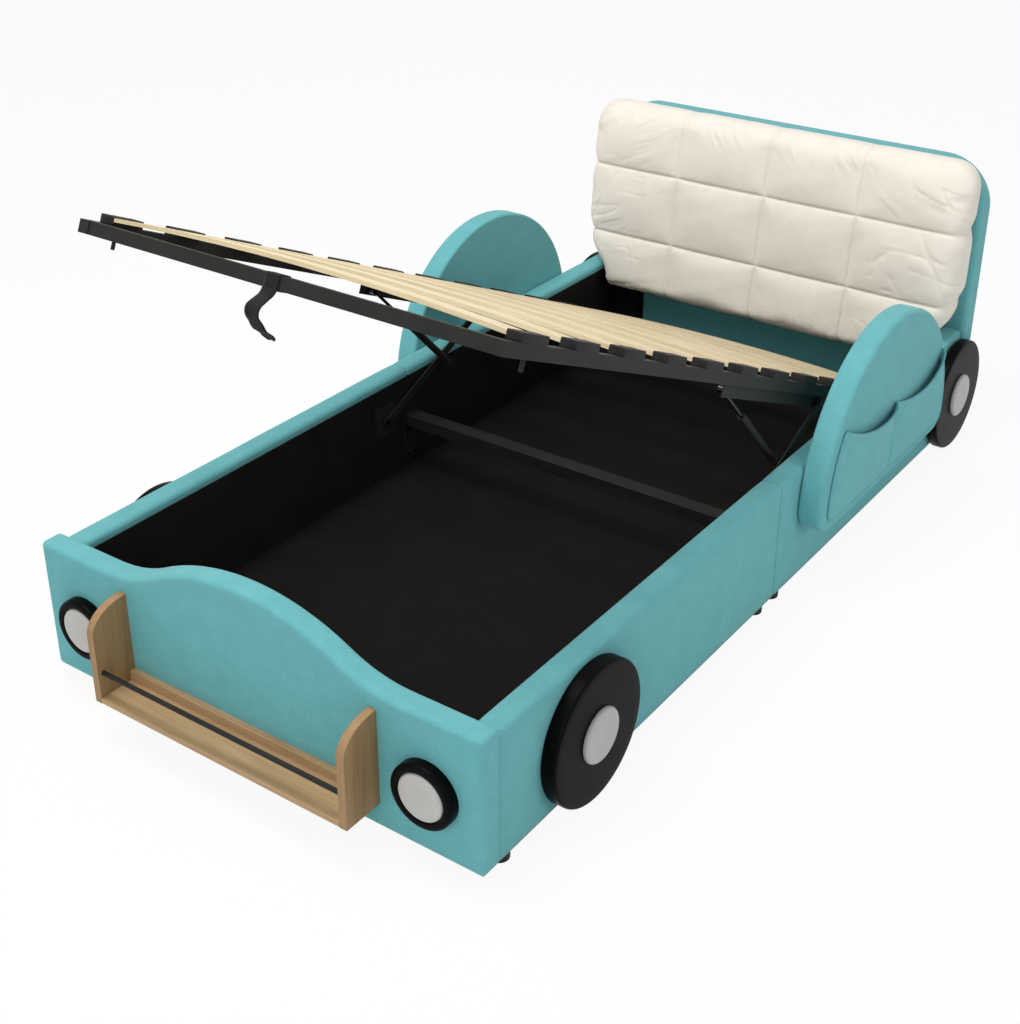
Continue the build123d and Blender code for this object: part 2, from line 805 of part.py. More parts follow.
arm_pivot = pivot_for(upper_pin, arm_pivot_reach)
rear_pivot = pivot_for(rear_pin, rear_pivot_reach)
upper_point = raised(*upper_pin)
rear_point = raised(*rear_pin)
rod_point = raised(*spring_pin)
arm_length = hypot(upper_point[0] - arm_pivot[0], upper_point[1] - arm_pivot[1])
arm_angle = atan2(upper_point[1] - arm_pivot[1], upper_point[0] - arm_pivot[0])
rear_length = hypot(rear_point[0] - rear_pivot[0], rear_point[1] - rear_pivot[1])
rear_angle = atan2(rear_point[1] - rear_pivot[1], rear_point[0] - rear_pivot[0])


def spring_point(angle):
    """Gas spring's lower pin on the arm, when the arm stands at this angle."""
    y = arm_pivot[0] + arm_length * spring_share * cos(angle) + spring_drop * sin(angle)
    z = arm_pivot[1] + arm_length * spring_share * sin(angle) - spring_drop * cos(angle)
    return y, z


cylinder_point = spring_point(arm_angle)
spring_open = hypot(rod_point[0] - cylinder_point[0], rod_point[1] - cylinder_point[1])
spring_angle = atan2(rod_point[1] - cylinder_point[1], rod_point[0] - cylinder_point[0])

arm_outer = inner_half - arm_lane
arm_inner = arm_outer - arm_thickness
bracket_outer = inner_half - bracket_lane
spring_x = inner_half - spring_lane


def leaning(x, point, angle):
    """Plane along the bed at row x and at this y and z, its local x leaning by this angle."""
    return Plane(origin=(x, point[0], point[1]), x_dir=(0, cos(angle), sin(angle)), z_dir=(1, 0, 0))


def round_bar(plane, radius, start, length, inner=0):
    """Round bar along the plane's local x, from start on, with a bore where inner isn't 0."""
    ends = Plane(origin=plane.from_local_coords((start, 0, 0)), x_dir=(1, 0, 0), z_dir=plane.x_dir)
    with BuildSketch(ends) as section:
        Circle(radius)
        if inner:
            Circle(inner, mode=Mode.SUBTRACT)
    extrude(section.sketch, amount=length)


for side_name, side in sides.items():
    with BuildPart() as lift_arm:
        plane = leaning(side * arm_inner, arm_pivot, arm_angle)
        lobe = (arm_length * spring_share, -spring_drop)
        with BuildSketch(plane):
            with Locations((arm_length / 2, 0)):
                Rectangle(arm_length, 2 * arm_half)
            with Locations((0, 0), (arm_length, 0)):
                Circle(pin_radius + eye_margin)
            with Locations(lobe):
                Circle(small_pin + eye_margin)
            with Locations((0, 0), (arm_length, 0)):
                Circle(pin_radius + pin_play, mode=Mode.SUBTRACT)
        extrude(amount=side * arm_thickness)
        with BuildSketch(plane):
            with Locations(lobe):
                Circle(small_pin)
        extrude(amount=-side * (arm_inner - spring_x + eye_length / 2 + pin_overrun))
    write(lift_arm, f"lift_arm_{side_name}")

    with BuildPart() as rear_arm:
        plane = leaning(side * arm_inner, rear_pivot, rear_angle)
        with BuildSketch(plane):
            with Locations((rear_length / 2, 0)):
                Rectangle(rear_length, 2 * rear_arm_half)
            with Locations((0, 0), (rear_length, 0)):
                Circle(small_pin + rear_eye_margin)
            with Locations((0, 0)):
                Circle(small_pin + eye_margin)
                Circle(pin_radius + pin_play, mode=Mode.SUBTRACT)
        extrude(amount=side * arm_thickness)
        with BuildSketch(plane):
            with Locations((rear_length, 0)):
                Circle(small_pin)
        extrude(amount=-side * (arm_inner - bracket_outer - stub_play))
    write(rear_arm, f"rear_arm_{side_name}")

    with BuildPart() as gas_cylinder:
        plane = leaning(side * spring_x, cylinder_point, spring_angle)
        round_bar(plane, cylinder_radius * 0.6, 0, cylinder_start)
        round_bar(plane, cylinder_radius, cylinder_start, cylinder_base)
        bore = cylinder_radius - cylinder_wall
        tube_length = cylinder_length - cylinder_base - cylinder_seal
        round_bar(plane, cylinder_radius, cylinder_start + cylinder_base, tube_length, bore)
        seal_start = cylinder_start + cylinder_length - cylinder_seal
        round_bar(plane, cylinder_radius, seal_start, cylinder_seal, gas_rod_radius + pin_play)
        with BuildSketch(plane):
            Circle(eye_radius)
        extrude(amount=eye_length / 2, both=True)
        with BuildSketch(plane):
            Circle(small_pin + pin_play)
        extrude(amount=eye_length, both=True, mode=Mode.SUBTRACT)
    write(gas_cylinder, f"gas_cylinder_{side_name}")

    with BuildPart() as gas_rod:
        rod_start = cylinder_start + cylinder_length - rod_inside
        round_bar(plane, gas_rod_radius, rod_start, spring_open - rod_start)
        round_bar(plane, bore - pin_play, rod_start, piston_length)
        eye_plane = leaning(side * spring_x, rod_point, spring_angle)
        with BuildSketch(eye_plane):
            Circle(eye_radius)
        extrude(amount=rod_eye_length / 2, both=True)
        with BuildSketch(eye_plane):
            Circle(small_pin)
        extrude(amount=side * (bracket_outer - bracket_metal - stub_play - spring_x))
    write(gas_rod, f"gas_rod_{side_name}")

with BuildPart() as base_plates:
    plates = ((arm_pivot, arm_plate_reach, arm_plate_below, arm_plate_above),
              (rear_pivot, rear_plate_reach, rear_plate_below, rear_plate_above))
    for side in sides.values():
        for (y, z), reach, below, above in plates:
            with BuildSketch(upright(side, inner_half)):
                with Locations((y, z + (above - below) / 2)):
                    RectangleRounded(2 * reach, below + above, eye_margin)
            extrude(amount=-side * base_thickness)
write(base_plates, "lift_base_plates")

with BuildPart() as base_pins:
    for side in sides.values():
        for point in (arm_pivot, rear_pivot):
            with BuildSketch(upright(side, inner_half - base_thickness)):
                with Locations(point):
                    Circle(pin_radius)
            extrude(amount=side * (arm_inner - gap - inner_half + base_thickness))
            with BuildSketch(upright(side, arm_inner - gap)):
                with Locations(point):
                    Circle(washer_radius)
            extrude(amount=-side * head_thickness_pin)
            with BuildSketch(upright(side, inner_half - base_thickness)):
                with Locations(point):
                    Circle(washer_radius)
            extrude(amount=-side * (arm_lane - base_thickness - gap))
write(base_pins, "base_pins")

with BuildPart() as platform_brackets:
    spans = ((spring_pin, upper_pin, bracket_depth), (rear_pin, rear_pin, rear_bracket_depth))
    for side in sides.values():
        for first, last, depth in spans:
            start = first[0] - bracket_overrun
            span = last[0] - first[0] + 2 * bracket_overrun
            with BuildSketch(beside_platform(side * bracket_outer)):
                with Locations((start + span / 2, tube_bottom - depth / 2)):
                    Rectangle(span, depth)
            extrude(amount=-side * bracket_metal)
            with BuildSketch(beside_platform(side * bracket_outer)):
                with Locations((start + span / 2, tube_bottom - bracket_metal / 2)):
                    Rectangle(span, bracket_metal)
            extrude(amount=-side * bracket_flange)
write(platform_brackets, "platform_brackets")

with BuildPart() as bracket_pins:
    for side in sides.values():
        with BuildSketch(beside_platform(side * bracket_outer)):
            with Locations(upper_pin):
                Circle(washer_radius)
        extrude(amount=side * (arm_inner - gap - bracket_outer))
        with BuildSketch(beside_platform(side * bracket_outer)):
            with Locations(upper_pin):
                Circle(pin_radius)
        extrude(amount=side * (arm_outer + gap + head_thickness_pin - bracket_outer))
        with BuildSketch(beside_platform(side * (arm_outer + gap))):
            with Locations(upper_pin):
                Circle(washer_radius)
        extrude(amount=side * head_thickness_pin)
write(bracket_pins, "bracket_pins")

with BuildPart() as platform_pegs:
    with BuildSketch(on_platform(tube_bottom)):
        for side in sides.values():
            with Locations((side * (platform_half - tube_width / 2), peg_place)):
                Circle(peg_radius)
    extrude(amount=-peg_length)
write(platform_pegs, "platform_pegs")
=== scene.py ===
import math

import bpy
import numpy as np
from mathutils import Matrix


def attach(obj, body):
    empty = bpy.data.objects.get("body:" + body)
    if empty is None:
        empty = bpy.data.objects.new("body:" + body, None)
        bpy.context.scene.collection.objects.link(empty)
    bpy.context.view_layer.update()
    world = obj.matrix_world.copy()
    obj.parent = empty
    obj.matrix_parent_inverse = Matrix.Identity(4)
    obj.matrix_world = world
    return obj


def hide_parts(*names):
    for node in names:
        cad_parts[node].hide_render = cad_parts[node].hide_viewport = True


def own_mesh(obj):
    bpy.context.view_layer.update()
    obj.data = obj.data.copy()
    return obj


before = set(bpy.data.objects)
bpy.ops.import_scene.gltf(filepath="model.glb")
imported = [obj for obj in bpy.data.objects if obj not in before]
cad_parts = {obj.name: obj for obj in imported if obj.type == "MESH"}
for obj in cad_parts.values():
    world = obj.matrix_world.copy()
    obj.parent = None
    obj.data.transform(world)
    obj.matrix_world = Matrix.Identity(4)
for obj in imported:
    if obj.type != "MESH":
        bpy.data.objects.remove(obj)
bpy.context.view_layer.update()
print("frame loaded:", len(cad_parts), "nodes")

# Metres in the row frame: +X right, +Y towards the headboard, +Z up, floor at z = 0
hands = {"left": -1, "right": 1}
bed = {"front": -1.079, "railInner": 0.4945, "railOuter": 0.5495, "railTop": 0.3125,
       "railBack": 1.072, "seam": 0.027, "foot": 0.029}


# Curves in a plane

def line(start, end, count=2):
    # Points at even shares of the way from start to end
    share = np.linspace(0, 1, count)[:, None]
    return (1 - share) * np.array(start, float) + share * np.array(end, float)


def arc(centre, radius, first, last, count):
    # Points at centre + radius times the cosine and sine of an angle that runs evenly, in degrees
    angle = np.radians(np.linspace(first, last, count))
    return np.array(centre) + radius * np.stack([np.cos(angle), np.sin(angle)], 1)


def rounding(x, y, radius, first, last, count):
    # Part of a rounded corner, in degrees, whose straight sides would meet at x and y: its
    # centre lies a radius inwards from both
    middle = math.radians((first + last) / 2)
    centre = x - math.copysign(radius, math.cos(middle)), y - math.copysign(radius, math.sin(middle))
    return arc(centre, radius, first, last, count)


def gathered(share, gather):
    # Even shares, drawn towards 0 and 1 by a part of a cosine
    return (1 - gather) * share + gather * (1 - np.cos(math.pi * share)) / 2


def evenly(pieces, count, gather=0.0):
    # One line through all the pieces, cut at equal lengths of arc, or gathered towards its ends
    points = np.concatenate(pieces)
    steps = np.linalg.norm(np.diff(points, axis=0), axis=1)
    points = points[np.concatenate([[True], steps > 1e-9])]
    run = np.concatenate([[0], np.cumsum(steps[steps > 1e-9])])
    at = run[-1] * gathered(np.linspace(0, 1, count), gather)
    return np.stack([np.interp(at, run, points[:, k]) for k in range(points.shape[1])], 1)


def threePointArc(start, middle, end, count):
    # Circle through three points: its centre is where the halving lines of two chords meet
    (ax, ay), (bx, by), (cx, cy) = start, middle, end
    twice = 2 * (ax * (by - cy) + bx * (cy - ay) + cx * (ay - by))
    squares = ax * ax + ay * ay, bx * bx + by * by, cx * cx + cy * cy
    x = (squares[0] * (by - cy) + squares[1] * (cy - ay) + squares[2] * (ay - by)) / twice
    y = (squares[0] * (cx - bx) + squares[1] * (ax - cx) + squares[2] * (bx - ax)) / twice
    first, last = math.atan2(ay - y, ax - x), math.atan2(cy - y, cx - x)
    halfway = math.atan2(by - y, bx - x)
    turn = (last - first) % (2 * math.pi)
    if (halfway - first) % (2 * math.pi) > turn:
        turn -= 2 * math.pi
    return arc((x, y), math.hypot(ax - x, ay - y), math.degrees(first),
               math.degrees(first + turn), count)


def smoothLine(points, count):
    # Catmull-Rom curve: between two points, a cubic whose slopes are half the step to the
    # points on either side
    points = np.array(points)
    padded = np.concatenate([[2 * points[0] - points[1]], points, [2 * points[-1] - points[-2]]])
    where = np.linspace(0, len(points) - 1, count)
    k = np.minimum(where.astype(int), len(points) - 2)
    t = (where - k)[:, None]
    a, b, c, d = (padded[k + n] for n in range(4))
    square, cube = 2 * a - 5 * b + 4 * c - d, 3 * b - a - 3 * c + d
    return 0.5 * (2 * b + (c - a) * t + square * t ** 2 + cube * t ** 3)


def ripple(points, size, seed):
    # Smooth unevenness from -1 to 1: the mean of eight plane waves of about this size,
    # each with its own direction and phase
    source = np.random.RandomState(seed)
    total = 0
    for _ in range(8):
        direction = source.normal(size=3)
        direction *= source.uniform(0.7, 1.5) / (np.linalg.norm(direction) * size)
        total = total + np.sin(points @ direction * 2 * math.pi + source.uniform(0, 7))
    return total / 4


# Surfaces

def coons(bottom, right, top, left):
    # Grid inside four sides: the two ruled surfaces added up, less the one through the corners
    u = np.linspace(0, 1, len(bottom))[:, None, None]
    v = np.linspace(0, 1, len(left))[None, :, None]
    across = (1 - v) * bottom[:, None] + v * top[:, None]
    upwards = (1 - u) * left[None] + u * right[None]
    corners = (1 - v) * ((1 - u) * bottom[0] + u * bottom[-1]) + v * ((1 - u) * top[0] + u * top[-1])
    return across + upwards - corners


def quads(index):
    # Faces of a grid of vertex numbers
    return np.stack([index[:-1, :-1], index[1:, :-1], index[1:, 1:], index[:-1, 1:]], -1).reshape(-1, 4)


def edgeOf(index):
    # The vertex numbers round the edge of a grid, once round from its first corner
    return np.concatenate([index[:, 0], index[-1, 1:], index[-2::-1, -1], index[0, -2:0:-1]])


def facedOutwards(points, faces):
    # The volume under the faces, as the sum of their cones from the origin, is positive when
    # they face outwards, and otherwise each face is turned round
    a, b, c, d = (points[faces[:, k]] for k in range(4))
    volume = (a * np.cross(b, c)).sum() + (a * np.cross(c, d)).sum()
    return faces if volume > 0 else faces[:, ::-1]


def edgeProfile(thickness, frontEdge, backEdge, steps=5):
    # Pairs of inset and depth round a slab's edge: a quarter circle from its face to its side,
    # the flat side, and a quarter circle to its back
    turn = np.linspace(0, math.pi / 2, steps)
    first = np.stack([frontEdge * (1 - np.sin(turn)), frontEdge * (1 - np.cos(turn))], 1)
    last = np.stack([backEdge * (1 - np.cos(turn)), thickness - backEdge * (1 - np.sin(turn))], 1)
    flat = line(first[-1], last[0], 6)[1:-1]
    return np.concatenate([first, flat, last])


def slab(outline, profile, place):
    # A padded board: a grid over its face, rings round its edge and a grid over its back.
    # outline(inset) gives four sides, and place(points, depth) puts them in space
    wide, high = len(outline(profile[0][0])[0]), len(outline(profile[0][0])[1])
    index = np.arange(wide * high).reshape(wide, high)
    rim = edgeOf(index)
    points = [place(coons(*outline(profile[0][0])).reshape(-1, 2), profile[0][1])]
    rings, start = [rim], wide * high
    for inset, depth in profile[1:-1]:
        bottom, right, top, left = outline(inset)
        loop = np.concatenate([bottom, right[1:], top[-2::-1], left[-2:0:-1]])
        points.append(place(loop, depth))
        rings.append(np.arange(start, start + len(loop)))
        start += len(loop)
    points.append(place(coons(*outline(profile[-1][0])).reshape(-1, 2), profile[-1][1]))
    rings.append(start + rim)
    rings = np.array([np.append(ring, ring[0]) for ring in rings])
    faces = [quads(index), quads(rings), quads(start + index)[:, ::-1]]
    points, faces = np.concatenate(points), np.concatenate(faces)
    return points, facedOutwards(points, faces)


def lofted(rings):
    # A skin over closed rings, with each end closed by a fan to its middle
    count, around = rings.shape[:2]
    index = np.arange(count * around).reshape(count, around)
    index = np.concatenate([index, index[:, :1]], 1)
    middles = rings[[0, -1]].mean(1)
    first = np.stack([np.full_like(index[0], count * around), index[0]])
    last = np.stack([index[-1], np.full_like(index[0], count * around + 1)])
    faces = np.concatenate([quads(first), quads(index), quads(last)])
    points = np.concatenate([rings.reshape(-1, 3), middles])
    return points, facedOutwards(points, faces)


def revolved(profile, around):
    # Each radius and height of the profile goes round in a full circle
    angle = np.linspace(0, 2 * math.pi, around, endpoint=False)
    return np.stack([profile[:, :1] * np.cos(angle), profile[:, :1] * np.sin(angle),
                     np.repeat(profile[:, 1:], around, 1)], -1)


def turned(profile, place, around=96):
    # A lathe shape, closed at both ends of its profile
    return lofted(place(revolved(profile, around)))


def hoop(profile, place, around=96):
    # A lathe shape whose profile closes on itself
    points = place(revolved(profile, around)).reshape(-1, 3)
    index = np.arange(len(points)).reshape(len(profile), around)
    index = np.concatenate([index, index[:, :1]], 1)
    index = np.concatenate([index, index[:1]], 0)
    return points, facedOutwards(points, quads(index))


def joined(parts):
    # Several shapes as one, with the vertex numbers of each moved up past the ones before
    offsets = np.cumsum([0] + [len(points) for points, _ in parts[:-1]])
    return (np.concatenate([points for points, _ in parts]),
            np.concatenate([faces + offset for (_, faces), offset in zip(parts, offsets)]))


def pieceOf(name, shape, material, body="root", nodes=(), around=None):
    # A new object at the origin from points and faces, on its body, in its material. A face
    # that names a vertex twice becomes a triangle
    points, faces = shape
    mesh = bpy.data.meshes.new(name)
    rows = [[v for k, v in enumerate(face) if v != face[k - 1]] for face in faces.tolist()]
    mesh.from_pydata(points.tolist(), [], rows)
    mesh.polygons.foreach_set("use_smooth", [True] * len(mesh.polygons))
    if around is not None:
        layer = mesh.uv_layers.new(name="cloth")
        corner = np.empty(len(mesh.loops), int)
        mesh.loops.foreach_get("vertex_index", corner)
        layer.data.foreach_set("uv", around[corner].astype(np.float32).ravel())
    mesh.materials.append(material)
    piece = bpy.data.objects.new(name, mesh)
    bpy.context.scene.collection.objects.link(piece)
    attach(piece, body)
    if nodes:
        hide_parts(*nodes)
    return piece


# Materials

def linear(code):
    # sRGB hex to linear: below 0.04045 a twelfth, above it a power of 2.4
    parts = [int(code[k:k + 2], 16) / 255 for k in (1, 3, 5)]
    return tuple(c / 12.92 if c <= 0.04045 else ((c + 0.055) / 1.055) ** 2.4 for c in parts) + (1.0,)


def add(tree, kind, feeds=None, **settings):
    # One node with its settings, and each of its sockets fed by a link or a fixed value
    made = tree.nodes.new(kind)
    for key, value in settings.items():
        setattr(made, key, value)
    for socket, value in (feeds or {}).items():
        if isinstance(value, bpy.types.NodeSocket):
            tree.links.new(value, made.inputs[socket])
        else:
            made.inputs[socket].default_value = value
    return made


def blank(name, **shine):
    # A material with a bare shader, whose fixed values are set on its own sockets
    material = bpy.data.materials.new(name)
    material.use_nodes = True
    shader = material.node_tree.nodes["Principled BSDF"]
    for socket, value in shine.items():
        shader.inputs[socket.replace("_", " ")].default_value = value
    return material, material.node_tree, shader


def placeOf(tree, stretch=(1, 1, 1)):
    # Object coordinates, stretched so that a pattern can run along the piece
    where = add(tree, "ShaderNodeTexCoord")
    return add(tree, "ShaderNodeMapping", {"Vector": where.outputs["Object"], "Scale": stretch}).outputs[0]


def noise(tree, place, millimetres, detail=2.0, rough=0.5, warp=0.0):
    # Noise whose lumps are about this many millimetres wide
    return add(tree, "ShaderNodeTexNoise", {"Vector": place, "Scale": 1000 / millimetres, "Detail": detail,
                                            "Roughness": rough, "Distortion": warp}).outputs["Fac"]


def ramp(tree, value, stops):
    # Colours at the stops, blended in between
    made = add(tree, "ShaderNodeValToRGB", {"Fac": value})
    while len(made.color_ramp.elements) < len(stops):
        made.color_ramp.elements.new(0.5)
    for element, (position, code) in zip(made.color_ramp.elements, stops):
        element.position, element.color = position, linear(code)
    return made.outputs["Color"]


def bump(tree, height, millimetres, normal=None, strength=1.0):
    # Raises the surface by up to this many millimetres where height is 1
    feeds = {"Height": height, "Distance": millimetres / 1000, "Strength": strength}
    if normal is not None:
        feeds["Normal"] = normal
    return add(tree, "ShaderNodeBump", feeds).outputs["Normal"]


def velvet(name, look):
    # Short pile velvet: matt, with a pale sheen at grazing angles, tufts drawn about 2 mm wide
    # so that they show, soft patches where the pile leans, and a crumpled surface
    material, tree, shader = blank(name, Roughness=0.85, Sheen_Weight=look["sheen"], Sheen_Roughness=0.4,
                                   Sheen_Tint=linear(look["sheenTint"]), Specular_IOR_Level=0.2)
    place = placeOf(tree)
    patches = noise(tree, place, look["patch"], 3.0, 0.55)
    tufts = noise(tree, place, look["tuft"], 2.0, 0.6)
    mottle = add(tree, "ShaderNodeMath", {0: patches, 1: 0.35}, operation="MULTIPLY")
    mottle = add(tree, "ShaderNodeMath", {0: tufts, 1: 0.65, 2: mottle.outputs[0]}, operation="MULTIPLY_ADD")
    colour = ramp(tree, mottle.outputs[0], ((0.3, look["dark"]), (0.5, look["base"]), (0.7, look["light"])))
    tree.links.new(colour, shader.inputs["Base Color"])
    crumple = noise(tree, place, look["crumple"], 3.0, 0.6, 0.4)
    normal = bump(tree, crumple, look["crumpleDepth"])
    tree.links.new(bump(tree, tufts, look["tuftDepth"], normal), shader.inputs["Normal"])
    return material


def fed(tree, shader, colour, value, rough, normal):
    # Links a colour and a normal, and a roughness that runs with value between the two given
    tree.links.new(colour, shader.inputs["Base Color"])
    made = add(tree, "ShaderNodeMapRange", {"Value": value, "To Min": rough[0], "To Max": rough[1]})
    tree.links.new(made.outputs[0], shader.inputs["Roughness"])
    tree.links.new(normal, shader.inputs["Normal"])


def timber(name, look):
    # Sawn wood: long growth bands 2 to 3 cm wide, fine pores stretched along the grain, and
    # where it is lacquered a thin clear coat that lifts the gloss a little
    material, tree, shader = blank(name, Coat_Weight=look["coat"], Coat_Roughness=0.3,
                                   Specular_IOR_Level=0.25)
    stretched = placeOf(tree, look["grain"])
    bands = noise(tree, stretched, look["band"], 3.0, 0.6, 0.6)
    pores = noise(tree, placeOf(tree, [g * g for g in look["grain"]]), look["pore"], 2.0, 0.6)
    mixed = add(tree, "ShaderNodeMath", {0: pores, 1: 0.4}, operation="MULTIPLY")
    mixed = add(tree, "ShaderNodeMath", {0: bands, 1: 0.6, 2: mixed.outputs[0]}, operation="MULTIPLY_ADD")
    stops = ((0.32, look["dark"]), (0.5, look["base"]), (0.68, look["light"]))
    colour = ramp(tree, mixed.outputs[0], stops)
    fed(tree, shader, colour, pores, (0.42, 0.58), bump(tree, pores, 0.15))
    return material


def coated(name, look, patch=60, detail=3.0, **shine):
    # A sprayed, moulded or faced skin: colour and roughness run together in slight patches,
    # and a fine peel or pebble of a few millimetres covers it
    material, tree, shader = blank(name, **shine)
    place = placeOf(tree)
    patches, peel = noise(tree, place, patch, detail, 0.6), noise(tree, place, look["peel"], 2.0, 0.5)
    colour = ramp(tree, patches, ((0.3, look["dark"]), (0.7, look["light"])))
    fed(tree, shader, colour, patches, look["rough"], bump(tree, peel, look["depth"]))
    return material


def webbing(name):
    # Woven polypropylene webbing: ribs along it 2 mm apart crossed by weft rows 1.5 mm apart,
    # read from the strap's own map in metres
    material, tree, shader = blank(name, Specular_IOR_Level=0.15, Sheen_Weight=0.1)
    where = add(tree, "ShaderNodeUVMap", uv_map="cloth").outputs["UV"]
    ribs = add(tree, "ShaderNodeTexWave", {"Vector": where, "Scale": 160.0, "Distortion": 0.4},
               bands_direction="X")
    weft = add(tree, "ShaderNodeTexWave", {"Vector": where, "Scale": 210.0, "Distortion": 0.6},
               bands_direction="Y")
    woven = add(tree, "ShaderNodeMath", {0: ribs.outputs["Fac"], 1: weft.outputs["Fac"]},
                operation="MULTIPLY")
    colour = ramp(tree, woven.outputs[0], ((0.2, "#090909"), (0.8, "#1b1b1a")))
    tree.links.new(colour, shader.inputs["Base Color"])
    shader.inputs["Roughness"].default_value = 0.8
    tree.links.new(bump(tree, woven.outputs[0], 0.4), shader.inputs["Normal"])
    return material


tealVelvet = velvet("tealVelvet", {
    "base": "#62a7ab", "dark": "#5a9ea3", "light": "#6bb0b4", "sheen": 0.3, "sheenTint": "#d8f4f4",
    "patch": 45, "tuft": 2.6, "tuftDepth": 0.7, "crumple": 60, "crumpleDepth": 0.8})
creamVelvet = velvet("creamVelvet", {
    "base": "#e2dbd0", "dark": "#dad3c6", "light": "#e8e2d8", "sheen": 0.2, "sheenTint": "#ffffff",
    "patch": 50, "tuft": 1.8, "tuftDepth": 0.3, "crumple": 8, "crumpleDepth": 0.55})
# The blacks reflect less than real ones would, or the white studio would turn them grey
blackBoard = coated("blackFacedHardboard", {"dark": "#141311", "light": "#1b1a18", "peel": 2.0,
                                            "depth": 0.1, "rough": (0.6, 0.8)},
                    90, 4.0, Specular_IOR_Level=0.08)
coreBoard = coated("rawParticleBoard", {"dark": "#a58a63", "light": "#c0a67e", "peel": 3.0,
                                        "depth": 0.3, "rough": (0.8, 0.95)},
                   90, 4.0, Specular_IOR_Level=0.08)
# One oak in two copies, each with its grain running its own way: the board's copy is painted lighter, as
# painted light on its upward faces under the overhead lamp, and the sides' copy is painted darker, as
# painted shade
litOakAcross = timber("lacqueredOakBoardLitCopy", {
    "base": "#a98b66", "dark": "#987a55", "light": "#b99b76", "grain": (0.12, 1, 1), "band": 30, "pore": 3.0,
    "coat": 0.06})
shadedOakUpright = timber("lacqueredOakSideShadedCopy", {
    "base": "#967752", "dark": "#866844", "light": "#a58661", "grain": (1, 1, 0.12), "band": 30, "pore": 3.0,
    "coat": 0.06})
birch = timber("bentBirchPlywood", {
    "base": "#cdbc98", "dark": "#bfad87", "light": "#dac9a8", "grain": (0.1, 1, 1), "band": 22, "pore": 2.5,
    "coat": 0.1})
pine = timber("planedPine", {
    "base": "#cdb083", "dark": "#b99b6b", "light": "#dcc398", "grain": (0.12, 1, 1), "band": 24, "pore": 3.0,
    "coat": 0.0})
blackLacquer = coated("satinBlackLacquer", {"dark": "#080808", "light": "#0c0c0c", "peel": 4.0,
                                            "depth": 0.02, "rough": (0.3, 0.4)},
                      Specular_IOR_Level=0.03)
paleCap = coated("satinMouldedCap", {"dark": "#a3a2a0", "light": "#abaaa8", "peel": 3.0, "depth": 0.02,
                                     "rough": (0.38, 0.46)})
lampLens = coated("satinLampLens", {"dark": "#adaba8", "light": "#b6b4b1", "peel": 3.0, "depth": 0.02,
                                    "rough": (0.35, 0.42)})
powderCoat = coated("mattPowderCoat", {"dark": "#181716", "light": "#201f1d", "peel": 1.5, "depth": 0.06,
                                       "rough": (0.5, 0.62)}, Specular_IOR_Level=0.2)
blackZinc = coated("blackZincPlate", {"dark": "#161617", "light": "#202021", "peel": 2.0, "depth": 0.02,
                                      "rough": (0.3, 0.42)}, Metallic=1.0)
chromedRod = coated("hardChromeRod", {"dark": "#2c2c2e", "light": "#38383a", "peel": 2.0, "depth": 0.01,
                                      "rough": (0.16, 0.24)}, Metallic=1.0)
blackPlastic = coated("mouldedBlackPlastic", {"dark": "#191817", "light": "#211f1d", "peel": 1.2,
                                              "depth": 0.05, "rough": (0.5, 0.6)},
                      Specular_IOR_Level=0.2)
blackWebbing = webbing("wovenBlackWebbing")
print("materials ready")


def covered(name, shape, node):
    # A padded cover of teal velvet in place of the plain one in the CAD
    cover = pieceOf(name, shape, tealVelvet, nodes=[node])


# Front panel with its hump

frontPanel = {"half": 0.555, "low": 0.327, "humpTop": 0.417, "humpRadius": 0.505, "humpBlend": 0.3,
              "corner": 0.012, "thickness": 0.051, "edge": 0.011, "crown": 0.0015, "count": (260, 64)}


def boxedSides(half, lower, upper, top, count):
    # Four sides of a board, each from the middle of one rounded corner to the middle of the
    # next. lower and upper hold a height, the radius of the corners there and their points
    (low, small, few), (high, big, many) = lower, upper
    right = [rounding(half, low, small, -45, 0, few), rounding(half, high, big, 0, 45, many)]
    right = evenly(right, count[1])
    bottom = [rounding(-half, low, small, 225, 270, few), rounding(half, low, small, 270, 315, few)]
    return evenly(bottom, count[0]), right, evenly(top, count[0]), right * (-1, 1)


def frontSides(inset):
    # Hump and its two hollow blends as arcs that touch, drawn in by inset
    s = frontPanel
    half, low, corner = s["half"] - inset, s["low"] - inset, max(s["corner"] - inset, 0.0008)
    radius, blend = s["humpRadius"] - inset, s["humpBlend"] + inset
    centre = s["humpTop"] - s["humpRadius"]
    reach = low + blend - centre
    offset = math.sqrt((radius + blend) ** 2 - reach ** 2)
    lean = math.degrees(math.atan2(offset, reach))
    rise = np.concatenate([arc((0, centre), radius, 90, 90 - lean, 60),
                           arc((offset, low + blend), blend, 270 - lean, 270, 40),
                           rounding(half, low, corner, 90, 45, 5)])
    top = [rise[::-1] * (-1, 1), rise]
    return boxedSides(half, (bed["foot"] + inset, corner, 5), (low, corner, 5), top, s["count"])


def facingNose(front, puff=0.0, seed=1, crown=0.0, box=None):
    # Puts a slab's points upright across the bed: x and z as drawn, y back from the front face.
    # The face swells by crown in its middle, and its padding is uneven by puff
    def place(points, depth):
        flat = np.stack([points[:, 0], np.full(len(points), front + depth), points[:, 1]], 1)
        if depth <= 0.001 and box:
            across = 1 - (points[:, 0] / box[0]) ** 4
            upwards = 1 - ((2 * points[:, 1] - box[1] - box[2]) / (box[2] - box[1])) ** 4
            swell = np.clip(across, 0, 1) * np.clip(upwards, 0, 1)
            flat[:, 1] -= crown * swell + puff * ripple(flat, 0.25, seed) * swell
        return flat
    return place


placeFront = facingNose(bed["front"], 0.0006, 3, frontPanel["crown"], (0.555, 0.029, 0.36))
frontEdge = edgeProfile(frontPanel["thickness"], frontPanel["edge"], frontPanel["edge"])
covered("frontPanelPadding", slab(frontSides, frontEdge, placeFront), "front_panel_cover")


# Headboard

